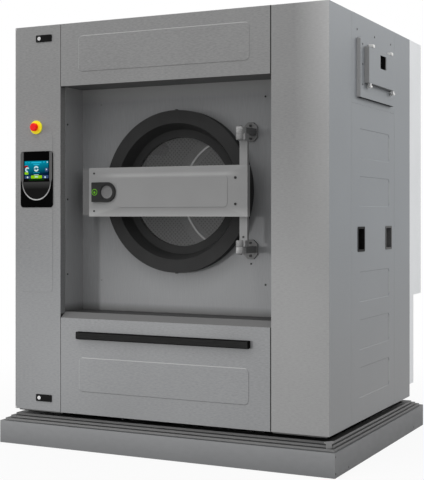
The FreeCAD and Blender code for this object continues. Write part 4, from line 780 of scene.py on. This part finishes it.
def paints():
    """Every finish by its short name."""
    arc_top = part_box("touch_panel")[1].z - ARC_DROP
    arc_low = arc_top - ARC_OUTER[1]
    return {
        "front": front_steel(),
        "corner": corner_steel(),
        "recess": recess_steel(),
        "side": side_steel(),
        "lid": lid_steel(),
        "base": plinth_paint(),
        "steps": stepped(),
        "frame": satin("frame_paint", grey(88), grey(100)),
        "case": satin("case_paint", grey(118), grey(126)),
        "white": satin("white_paint", colour(245, 247, 249), colour(250, 252, 254), 60.0, 0.0, 0.45),
        "beam": beam_satin(),
        "bright": brushed("bright_steel", grey(196), grey(222), BRIGHT_GRAIN, 0.6, 0.3),
        "hinge": hinge_steel(),
        "pins": satin("pin_steel", grey(112), grey(126), 200.0, 0.1, 0.5, 0.1),
        "screw": satin("screw_black", grey(22), grey(34), 300.0, 0.4, 0.4),
        "heads": screw_heads(),
        "drum_wall": perforated("drum_wall", True),
        "drum_end": perforated("drum_end", False),
        "drum_plain": brushed("drum_plain", grey(160), grey(178), DRUM_GRAIN, 0.3, 0.4),
        "shaft": brushed("shaft_steel", grey(140), grey(165), SHAFT_GRAIN, 0.9, 0.25),
        "cast": satin("cast_iron", grey(52), grey(66), 120.0, 0.5, 0.55, 0.3, 0.0004),
        "motor": satin("motor_paint", colour(46, 60, 76), colour(56, 70, 86)),
        "black": satin("black_plastic", grey(40), grey(46), 160.0, 0.0, 0.5, 0.12),
        "bumper": bumper_black(),
        "cups": cup_black(),
        "plates": satin("lock_black", grey(22), grey(28), 160.0, 0.0, 0.5, 0.04),
        "keys": satin("key_white", grey(236), grey(246), 300.0, 0.0, 0.4),
        "ring": satin("ring_black", grey(53), grey(58), 160.0, 0.0, 0.55, 0.08),
        "dish": dish_grey(),
        "rubber": satin("rubber_black", grey(24), grey(34), 120.0, 0.0, 0.7, 0.2, 0.0003),
        "glass": glazing("door_glazing", grey(160), 0.145, 0.04),
        "dark_glass": glazing("window_glazing", grey(16), 0.99, 0.0),
        "gloss": satin("touch_black", grey(10), grey(14), 60.0, 0.0, 0.5, 0.0, 0.00001),
        "slate": faded("touch_slate", arc_top - SLATE_FADE, arc_top, grey(12), grey(66), 0.0, 0.5),
        # Painted reflection: the chrome trim is lightest at the foot of its arc and greyer up the rails
        "chrome": faded("touch_chrome", arc_low, arc_top, grey(214), grey(100), 0.1, 0.4),
        "screen": display(),
        # The collar and the button carry a painted glow
        "yellow": satin(
            "collar_yellow", colour(255, 252, 40), colour(255, 255, 60), 200.0, 0.0, 0.4, 0.1, glow=0.15
        ),
        "red": satin("button_red", colour(246, 6, 6), colour(255, 12, 10), 200.0, 0.0, 0.3, 0.3, glow=0.2),
        "cream": satin("clip_white", colour(252, 251, 248), colour(255, 255, 252), 300.0, 0.0, 0.3),
        "pipe": satin("pipe_grey", grey(110), grey(120)),
        "brass": brushed("inlet_brass", colour(178, 142, 78), colour(204, 168, 98), TURNED_GRAIN, 0.9, 0.3),
        "green": lit("sign_green", colour(110, 190, 36), 0.15),
        "ui_green": lit("ui_green", colour(140, 200, 8)),
        "ui_dim": lit("ui_dim", colour(16, 62, 6), 0.2),
        "ui_white": lit("ui_white", colour(196, 222, 226)),
        "ui_cyan": lit("ui_cyan", colour(34, 176, 206)),
        "ui_blue": lit("ui_blue", colour(56, 74, 116)),
        "ui_red": lit("ui_red", colour(160, 24, 20)),
    }


# Nodes that take each finish
PAINTED = {
    "front": ["top_front_panel", "column_door", "bottom_front_panel"], "corner": ["right_column"],
    "recess": ["recess_liners", "recess_panel"],
    "side": ["side_sheets", "service_panel", "back_panel", "roof_panel", "supply_plate"],
    "base": ["base_plinth"], "steps": ["base_steps"],
    "frame": ["chassis_frame", "tub_shell", "tub_end_plates"], "case": ["lock_case"],
    "white": ["rear_housings"], "beam": ["door_beam", "hinge_post", "corner_gussets"],
    "bright": ["lock_bolt", "damper_rods"], "keys": ["upper_lock", "lower_lock"],
    "hinge": ["hinge_brackets"], "pins": ["hinge_pins"], "screw": ["beam_screws"],
    "heads": ["panel_screws"], "lid": ["supply_lid"], "drum_wall": ["drum_shell"],
    "drum_end": ["drum_back"], "drum_plain": ["drum_front_ring", "drum_lifters"],
    "shaft": ["drum_shaft", "shaft_bearings"], "cast": ["bearing_housing", "drum_pulley", "motor_pulley"],
    "motor": ["motor", "damper_bodies"], "black": ["lock_housing"], "cups": ["grip_cups"],
    "bumper": ["bumper_bar"], "plates": ["lock_plates"], "ring": ["door_rim"],
    "rubber": ["mouth_gasket", "drive_belt"], "glass": ["door_glass"], "dark_glass": ["supply_window"],
    "gloss": ["touch_panel"], "screen": ["touch_screen"], "yellow": ["estop_collar"],
    "red": ["estop_button"], "cream": ["supply_clips", "supply_hinges"], "pipe": ["drain_valve"],
    "brass": ["water_inlets"],
}

# Edge rounding of the nodes whose edges show
SOFTENED = {
    "door_beam": 0.003, "hinge_post": 0.002, "lock_housing": 0.003, "hinge_brackets": 0.002,
    "right_column": 0.002, "column_door": 0.0015, "top_front_panel": 0.0012, "bottom_front_panel": 0.0012,
    "service_panel": 0.0012, "supply_plate": 0.002, "supply_lid": 0.002, "rear_housings": 0.003,
    "touch_panel": 0.002, "lock_case": 0.002, "base_plinth": 0.002,
}


def paint_nodes(made):
    for key, names in PAINTED.items():
        for name in names:
            slots = NODES[name].data.materials
            slots.clear()
            slots.append(made[key].material)


def soften(target, width):
    """Rounds the sharp edges of a piece."""
    weld = target.modifiers.new("weld", "WELD")
    weld.merge_threshold = WELD_REACH
    bevel = target.modifiers.new("bevel", "BEVEL")
    bevel.width = width
    bevel.segments = 2
    bevel.limit_method = "ANGLE"
    bevel.angle_limit = math.radians(SHARP_ANGLE)
    bevel.harden_normals = True


def placed(name, data):
    """A new object in the scene."""
    made = bpy.data.objects.new(name, data)
    bpy.context.scene.collection.objects.link(made)
    return made


def shape(name, mesh, paint):
    """A new object from a bmesh."""
    data = bpy.data.meshes.new(name)
    mesh.to_mesh(data)
    mesh.free()
    data.materials.append(paint.material)
    return placed(name, data)


def piece(name, mesh, body, paint, smooth=False):
    """A new object from a bmesh that rides on a body."""
    bmesh.ops.recalc_face_normals(mesh, faces=mesh.faces)
    made = shape(name, mesh, paint)
    if smooth:
        made.data.shade_smooth()
    if body:
        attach(made, body)
    return made


def sleeve(mesh, here, there):
    """Adds the faces between two closed rows of points."""
    for index in range(len(here)):
        after = (index + 1) % len(here)
        mesh.faces.new((here[index], here[after], there[after], there[index]))


def slab(mesh, points, back, front):
    """Adds a closed plate with an outline of (x, z) corners between two values of y."""
    rings = []
    for y in (back, front):
        rings.append([mesh.verts.new((x, y, z)) for x, z in points])
    mesh.faces.new(rings[0])
    mesh.faces.new(rings[1])
    sleeve(mesh, *rings)


def brick(mesh, x, y, z):
    """Adds a closed box between two values of each axis."""
    slab(mesh, ((x[0], z[0]), (x[1], z[0]), (x[1], z[1]), (x[0], z[1])), y[0], y[1])


def strip(mesh, rows):
    """Adds a closed strip through rows of points."""
    for here, there in zip(rows, rows[1:]):
        sleeve(mesh, here, there)
    mesh.faces.new(rows[0])
    mesh.faces.new(rows[-1])


def ribbon(mesh, inner, outer, back, front):
    """Adds a closed strip between two lines of (x, z) points."""
    rows = []
    for (xa, za), (xb, zb) in zip(inner, outer):
        corners = ((xa, back, za), (xb, back, zb), (xb, front, zb), (xa, front, za))
        rows.append([mesh.verts.new(corner) for corner in corners])
    strip(mesh, rows)


def turned(mesh, profile, place, steps=64):
    """Adds a solid turned from (radius, distance) points, whose two ends lie on its axis."""
    rings = []
    for radius, distance in profile:
        spots = [(0.0, 0.0)] if radius < ON_AXIS else disc(0.0, 0.0, radius, steps)
        rings.append([mesh.verts.new(place(a, b, distance)) for a, b in spots])
    for low, high in zip(rings, rings[1:]):
        for step in range(steps):
            corners = []
            for ring, index in ((low, step), (low, step + 1), (high, step + 1), (high, step)):
                vert = ring[index % len(ring)]
                if vert not in corners:
                    corners.append(vert)
            mesh.faces.new(corners)


def rounded(x, z, radius=FINE_RADIUS, steps=FINE_STEPS):
    """Outline of a rectangle with rounded corners."""
    points = []
    centres = (
        (x[1] - radius, z[1] - radius, 0), (x[0] + radius, z[1] - radius, 90),
        (x[0] + radius, z[0] + radius, 180), (x[1] - radius, z[0] + radius, 270),
    )
    for cx, cz, start in centres:
        points += arc_line(cx, cz, radius, start, start + 90, steps)
    return points


def disc(x, z, radius, steps):
    """Outline of a circle."""
    return arc_line(x, z, radius, 0, 360, steps)[:-1]


def arc_line(x, z, radius, start, end, steps=24):
    """Points along an arc, in degrees from the right."""
    angles = [math.radians(start + (end - start) * step / steps) for step in range(steps + 1)]
    return [(x + radius * math.cos(a), z + radius * math.sin(a)) for a in angles]


def springs(made):
    """Two-bulge bellows with clamped end plates, which stretch between base and cabinet."""
    low, high = [corner.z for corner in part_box("air_springs")]
    start, end = low + SPRING_PLATE_THICK, high - SPRING_PLATE_THICK
    waist = (start + end) / 2
    profile = [(0.0, low), (SPRING_PLATE, low), (SPRING_PLATE, start), (SPRING_NECK, start)]
    for a, b in ((start, waist), (waist, end)):
        for step in range(1, SPRING_STEPS):
            turn = math.pi * step / SPRING_STEPS
            radius = SPRING_NECK + (SPRING_BULGE - SPRING_NECK) * math.sin(turn)
            profile.append((radius, (a + b) / 2 - (b - a) / 2 * math.cos(turn)))
        profile.append((SPRING_NECK, b))
    profile += [(SPRING_PLATE, end), (SPRING_PLATE, high), (0.0, high)]
    mesh = bmesh.new()
    for x in (-SPRING_X, SPRING_X):
        for y in SPRING_Y:
            turned(mesh, profile, lambda a, b, c: (x + a, y + b, c), SPRING_SIDES)
    bellows = piece("spring_bellows", mesh, None, made["rubber"], True)
    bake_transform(bellows)
    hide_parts("air_springs")


def release(made):
    """Round push button with a dished face."""
    low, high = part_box("release_button")
    x, z = (low.x + high.x) / 2, (low.z + high.z) / 2
    radius, deep = (high.x - low.x) / 2, high.y - low.y
    lip = radius - DISH_LIP
    profile = [
        (0.0, deep), (radius, deep), (radius, DISH_SHOULDER),
        (radius - DISH_CHAMFER, DISH_FALL), (radius - DISH_CROWN, 0.0), (lip, DISH_FALL),
    ]
    for step in range(1, DISH_STEPS + 1):
        share = 1 - step / DISH_STEPS
        profile.append((lip * share, DISH_FALL + DISH_DEPTH * (1 - share ** DISH_CURVE)))
    mesh = bmesh.new()
    turned(mesh, profile, lambda a, b, c: (x + a, low.y + c, z + b))
    button = piece("release_dish", mesh, "release", made["dish"], True)
    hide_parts("release_button")


def trim_line(middle, top, rail, arc):
    """Line down one rail, round the arc and up the other rail."""
    turn_z = top - ARC_DROP
    bend = turn_z + RAIL_TAPER
    line = [(middle - rail, top), (middle - rail, bend)]
    for step in range(ARC_STEPS + 1):
        angle = math.pi + math.pi * step / ARC_STEPS
        line.append((middle + arc[0] * math.cos(angle), turn_z + arc[1] * math.sin(angle)))
    return line + [(middle + rail, bend), (middle + rail, top)]


def touch_trim(made):
    """Rails with their arc, inner field and display frame on the touch panel."""
    low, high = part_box("touch_panel")
    face, top = low.y, high.z - TRIM_TOP
    middle, foot = (low.x + high.x) / 2, top - DISPLAY_DROP
    inner = trim_line(middle, top, RAIL_INNER, ARC_INNER)
    outer = trim_line(middle, top, RAIL_OUTER, ARC_OUTER)
    mesh = bmesh.new()
    ribbon(mesh, inner, outer, face, face - TRIM_PROUD)
    soften(piece("touch_trim", mesh, "control_door", made["chrome"]), TRIM_EDGE)
    mesh = bmesh.new()
    field = [(middle - RAIL_INNER, foot)] + inner[2:-2] + [(middle + RAIL_INNER, foot)]
    slab(mesh, field, face, face - TRIM_PROUD * SLATE_PROUD)
    piece("touch_field", mesh, "control_door", made["slate"])
    screen_low, screen_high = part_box("touch_screen")
    block = rounded((middle - RAIL_INNER, middle + RAIL_INNER), (foot, top))
    hole = rounded((screen_low.x, screen_high.x), (screen_low.z, screen_high.z))
    mesh = bmesh.new()
    ribbon(mesh, hole + hole[:1], block + block[:1], face, face - TRIM_PROUD * FRAME_PROUD)
    bmesh.ops.remove_doubles(mesh, verts=mesh.verts, dist=SAME_POINT)
    piece("touch_frame", mesh, "control_door", made["gloss"])


class Screen:
    """Places flat signs on the lit part of the screen by shares of its width and height."""

    def __init__(self):
        self.low, self.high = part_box("touch_screen")
        self.mesh = bmesh.new()

    def at(self, u, v):
        rise = LIT_FROM + (1 - LIT_FROM) * v
        return (self.low.x + u * (self.high.x - self.low.x), self.low.z + rise * (self.high.z - self.low.z))

    def layer(self, level):
        """Back and front of a layer of signs."""
        back = self.low.y - level * SIGN_THICK
        return back, back - SIGN_THICK

    def put(self, outline, level):
        slab(self.mesh, outline, *self.layer(level))

    def bar(self, left, right, bottom, top, radius=FINE_RADIUS, level=0):
        (x0, z0), (x1, z1) = self.at(left, bottom), self.at(right, top)
        self.put(rounded((x0, x1), (z0, z1), radius), level)

    def ring(self, spot, radii, start, end, level):
        x, z = self.at(*spot)
        lines = [arc_line(x, z, radius, start, end) for radius in radii]
        ribbon(self.mesh, *lines, *self.layer(level))

    def icons(self):
        """Dial, loop, arrow and two dots."""
        for start in DIAL_STARTS:
            self.ring(DIAL_AT, DIAL_RADII, start, start + DIAL_SWEEP, 0)
        self.ring(LOOP_AT, LOOP_RADII, *LOOP_SPAN, 1)
        x, z = self.at(*ARROW_AT)
        self.put([(x + across, z + up) for across, up in ARROW_CORNERS], 1)
        for spot in DOTS_AT:
            self.put(disc(*self.at(*spot), DOT_RADIUS, DOT_STEPS), 1)

    def show(self, name, paint):
        piece(name, self.mesh, "control_door", paint)
        self.mesh = bmesh.new()


def screen_signs(made):
    """Plain bars, buttons and icons on the lit screen."""
    screen = Screen()
    for name, (paint, bars) in SCREEN_SIGNS.items():
        for bar in bars:
            screen.bar(*bar)
        if name == "screen_icons":
            screen.icons()
        screen.show(name, made[paint])


def lock_sign(made):
    """Green padlock outline in a ring, on the lock housing."""
    low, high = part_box("lock_housing")
    x, z = low.x + SIGN_INSET, (low.z + high.z) / 2
    layer = (low.y, low.y - SIGN_RISE)
    mesh = bmesh.new()
    ring = [arc_line(x, z, radius, 0, 360) for radius in (SIGN_RADIUS - SIGN_RING, SIGN_RADIUS)]
    ribbon(mesh, *ring, *layer)
    body_x, body_z = (x - PADLOCK_HALF, x + PADLOCK_HALF), (z - PADLOCK_Z[0], z + PADLOCK_Z[1])
    slab(mesh, rounded(body_x, body_z), *layer)
    shackle = [arc_line(x, z + SHACKLE_UP, radius, 0, 180) for radius in SHACKLE_RADII]
    ribbon(mesh, *shackle, *layer)
    bmesh.ops.remove_doubles(mesh, verts=mesh.verts, dist=SAME_POINT)
    piece("lock_sign", mesh, "door_unit", made["green"])


def rim_lugs(made):
    """Small lugs on the rim's outer edge, at its top and bottom."""
    low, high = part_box("door_rim")
    x = (low.x + high.x) / 2
    mesh = bmesh.new()
    for z in (low.z, high.z):
        outline = rounded((x - LUG_HALF, x + LUG_HALF), (z - LUG_HALF, z + LUG_HALF), LUG_RADIUS)
        slab(mesh, outline, low.y + LUG_DEPTH[0], low.y + LUG_DEPTH[1])
    piece("rim_lugs", mesh, "door_unit", made["screw"])


def keyways(made):
    """Key slots in the two lock faces."""
    wide, tall = SLOT_HALF
    for name, body in (("upper_lock", "upper_key"), ("lower_lock", "lower_key")):
        low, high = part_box(name)
        x = low.x + SLOT_INSET
        z = (low.z + high.z) / 2
        mesh = bmesh.new()
        slot = rounded((x - wide, x + wide), (z - tall, z + tall), SLOT_RADIUS)
        slab(mesh, slot, low.y, low.y - SLOT_RISE)
        piece(name + "_slot", mesh, body, made["screw"])


def column_field(made):
    """Slightly raised field round the controls on the column door."""
    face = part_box("column_door")[0].y
    mesh = bmesh.new()
    slab(mesh, rounded(FIELD_X, FIELD_Z, FIELD_RADIUS, FIELD_STEPS), face, face - FIELD_RISE)
    soften(piece("column_field", mesh, "control_door", made["front"]), FIELD_EDGE)


def beam_field(made):
    """Slightly raised field on the beam's flat front."""
    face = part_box("door_beam")[0].y
    mesh = bmesh.new()
    outline = rounded(BEAM_FIELD_X, BEAM_FIELD_Z, FIELD_RADIUS, FIELD_STEPS)
    slab(mesh, outline, face + BEAM_FIELD_RISE, face - BEAM_FIELD_RISE)
    soften(piece("beam_field", mesh, "door_unit", made["beam"]), BEAM_FIELD_EDGE)


def panel_seals(made):
    """Black edge seals along the right edges of the front panels."""
    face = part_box("right_column")[0].y
    mesh = bmesh.new()
    for name, drop in (("top_front_panel", 0.0), ("bottom_front_panel", SILL_DROP)):
        low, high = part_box(name)
        brick(mesh, SEAL_X, (face - SEAL_PROUD, face + SEAL_DEEP), (low.z, high.z - drop))
    piece("panel_seals", mesh, "cabinet", made["rubber"])


def side_seams(made):
    """Sealing strips sunk in the seams round the service panel."""
    panel_low, panel_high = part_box("service_panel")
    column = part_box("right_column")
    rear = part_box("side_sheets")
    face = column[1].x
    x = (face - SEAM_SINK - SEAM_DEEP, face - SEAM_SINK)
    gap = panel_low.y - column[1].y
    front_y = (column[1].y + SEAM_GAP, panel_low.y - SEAM_GAP)
    rear_y = (panel_high.y + SEAM_GAP, panel_high.y + gap - SEAM_GAP)
    tall = (panel_low.z, rear[1].z - SEAM_DEEP)
    mesh = bmesh.new()
    brick(mesh, x, front_y, tall)
    brick(mesh, x, rear_y, tall)
    brick(mesh, x, (panel_low.y, panel_high.y), (panel_high.z + SEAM_GAP, panel_high.z + gap - SEAM_GAP))
    piece("side_seams", mesh, "cabinet", made["side"])


def plinth_screws(made):
    """Black socket screws sunk in the plinth's ends."""
    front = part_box("right_column")[0].y
    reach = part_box("base_plinth")[1].x
    radius = PLINTH_SCREW_RADIUS
    face, foot = reach - PLINTH_SCREW_FACE, reach - PLINTH_SCREW_FOOT
    profile = [(0.0, foot), (radius, foot)]
    profile += [(radius * share, face - depth) for share, depth in PLINTH_SCREW_HEAD]
    mesh = bmesh.new()
    for side in (-1, 1):
        for depth, z in PLINTH_SCREWS:
            turned(mesh, profile, lambda a, b, c: (side * c, front + depth + a, z + b), PLINTH_SCREW_SIDES)
    piece("plinth_screws", mesh, "base", made["screw"])


def back_screw_places(low, high):
    """Places of the screws along the edges of the back panel and beside the housings."""
    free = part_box("rear_housings")[0].x - SCREW_CLEAR
    left, bottom, top = low.x + SCREW_EDGE, low.z + SCREW_EDGE, high.z - SCREW_EDGE
    places = []
    for step in range(SCREW_ROWS):
        z = bottom + (top - bottom) * step / (SCREW_ROWS - 1)
        places.append((left, z))
        if z > SCREW_FREE_FROM:
            places.append((free, z))
    for step in range(1, SCREW_COLUMNS):
        x = left + (free - left) * step / SCREW_COLUMNS
        places += [(x, bottom), (x, top)]
    return places


def back_screws(made):
    """Socket screws of the back panel."""
    low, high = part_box("back_panel")
    profile = [(SCREW_RADIUS * wide, SCREW_RISE * tall) for wide, tall in SCREW_PROFILE]
    mesh = bmesh.new()
    for x, z in back_screw_places(low, high):
        turned(mesh, profile, lambda a, b, c: (x + a, high.y + c, z + b), SCREW_SIDES)
    piece("back_screws", mesh, "cabinet", made["bright"])


def louvre(mesh, x, z, y):
    """Adds one pressed hood, open at its lower edge, with rounded ends."""
    turns = [math.pi / 2 * step / LOUVRE_STEPS for step in range(LOUVRE_STEPS + 1)]
    stations = [(x[0] + LOUVRE_END * (1 - math.cos(turn)), turn) for turn in turns]
    stations += [(x[1] - LOUVRE_END * (1 - math.cos(turn)), turn) for turn in reversed(turns)]
    rows = []
    for place, turn in stations:
        scale = LOUVRE_TIP + (1 - LOUVRE_TIP) * math.sin(turn)
        rows.append([mesh.verts.new((place, y + out * scale, z + up * scale)) for out, up in LOUVRE_SECTION])
    strip(mesh, rows)


def back_louvres(made):
    """Cooling louvres behind the motor."""
    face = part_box("back_panel")[1].y
    mesh = bmesh.new()
    for index in range(LOUVRE_COUNT):
        louvre(mesh, LOUVRE_X, LOUVRE_Z + LOUVRE_PITCH * index, face)
    piece("back_louvres", mesh, "cabinet", made["side"])


def back_plate(made):
    """Bare plate on the back with four rivets."""
    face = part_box("back_panel")[1].y
    mesh = bmesh.new()
    slab(mesh, rounded(PLATE_X, PLATE_Z, PLATE_RADIUS, PLATE_STEPS), face, face + PLATE_RISE)
    for x in (PLATE_X[0] + RIVET_INSET, PLATE_X[1] - RIVET_INSET):
        for z in (PLATE_Z[0] + RIVET_INSET, PLATE_Z[1] - RIVET_INSET):
            turned(mesh, RIVET_DOME, lambda a, b, c: (x + a, face + PLATE_RISE + c, z + b), RIVET_SIDES)
    piece("back_plate", mesh, "cabinet", made["bright"])


def lamp(name, kind, place, target, power):
    """A lamp that is aimed at a target and isn't seen itself."""
    data = bpy.data.lights.new(name, kind)
    data.energy = power
    made = placed(name, data)
    made.location = place
    made.rotation_euler = (Vector(target) - Vector(place)).to_track_quat("-Z", "Y").to_euler()
    made.visible_camera = False
    return data


def lamps():
    for name, place, target, size, power in LAMPS:
        data = lamp(name, "AREA", place, target, power)
        data.shape = "DISK"
        data.size = size
    data = lamp("key", "SPOT", KEY_PLACE, KEY_TARGET, KEY_POWER)
    data.spot_size = math.radians(KEY_CONE)
    data.spot_blend = KEY_EDGE
    data.shadow_soft_size = KEY_RADIUS


def seen_rays(tree):
    """1 for rays that come straight from the camera, a reflection or glass."""
    path = tree.nodes.new("ShaderNodeLightPath")
    total = path.outputs["Is Camera Ray"]
    for name in ("Is Glossy Ray", "Is Transmission Ray"):
        most = tree.nodes.new("ShaderNodeMath")
        most.operation = "MAXIMUM"
        tree.links.new(total, most.inputs[0])
        tree.links.new(path.outputs[name], most.inputs[1])
        total = most.outputs[0]
    return total


def studio():
    """White surroundings that light less than they show, and the lamps."""
    scene = bpy.context.scene
    scene.view_settings.view_transform = "Standard"
    world = bpy.data.worlds.new("studio")
    scene.world = world
    world.use_nodes = True
    tree = world.node_tree
    back = tree.nodes["Background"]
    back.inputs["Color"].default_value = (1.0, 1.0, 1.0, 1.0)
    strength = tree.nodes.new("ShaderNodeMapRange")
    strength.inputs["To Min"].default_value = AMBIENT
    strength.inputs["To Max"].default_value = 1.0
    tree.links.new(seen_rays(tree), strength.inputs["Value"])
    tree.links.new(strength.outputs[0], back.inputs["Strength"])
    lamps()


def floor_paint():
    """White floor that keeps a faint shadow near the machine and fades into the background."""
    paint = Paint("floor_white", 0.0, 0.9, 0.0)
    seen = seen_rays(paint.tree)
    paint.tint(paint.mix(seen, even(FLOOR_BOUNCE) + (1.0,), even(FLOOR_SEEN) + (1.0,)))
    x, y, _ = paint.spot()
    glow = paint.fit(paint.reach(x, y), *FLOOR_FADE, FLOOR_GLOW, 1.0)
    shine = paint.node("ShaderNodeEmission")
    join = paint.node("ShaderNodeMixShader")
    paint.feed(paint.times(seen, glow), join.inputs[0])
    paint.feed(paint.shader.outputs[0], join.inputs[1])
    paint.feed(shine.outputs[0], join.inputs[2])
    paint.feed(join.outputs[0], paint.tree.nodes["Material Output"].inputs["Surface"])
    return paint


def floor():
    mesh = bmesh.new()
    half = FLOOR_HALF
    corners = ((-half, -half), (half, -half), (half, half), (-half, half))
    mesh.faces.new([mesh.verts.new((x, y, 0.0)) for x, y in corners])
    made = shape("floor", mesh, floor_paint())


def camera():
    data = bpy.data.cameras.new("camera")
    data.lens = CAMERA_LENS
    data.sensor_width = CAMERA_SENSOR
    data.shift_x, data.shift_y = CAMERA_SHIFT
    data.clip_end = CAMERA_REACH
    made = placed("camera", data)
    made.location = CAMERA_PLACE
    made.rotation_euler = (math.radians(90), 0.0, math.radians(CAMERA_TURN))
    bpy.context.scene.camera = made


def main():
    made = paints()
    paint_nodes(made)
    for name, width in SOFTENED.items():
        soften(NODES[name], width)
    for build in (
        springs, release, touch_trim, screen_signs, lock_sign, rim_lugs, keyways, column_field, beam_field,
        panel_seals, side_seams, plinth_screws, back_screws, back_louvres, back_plate,
    ):
        build(made)
    studio()
    floor()
    camera()


main()
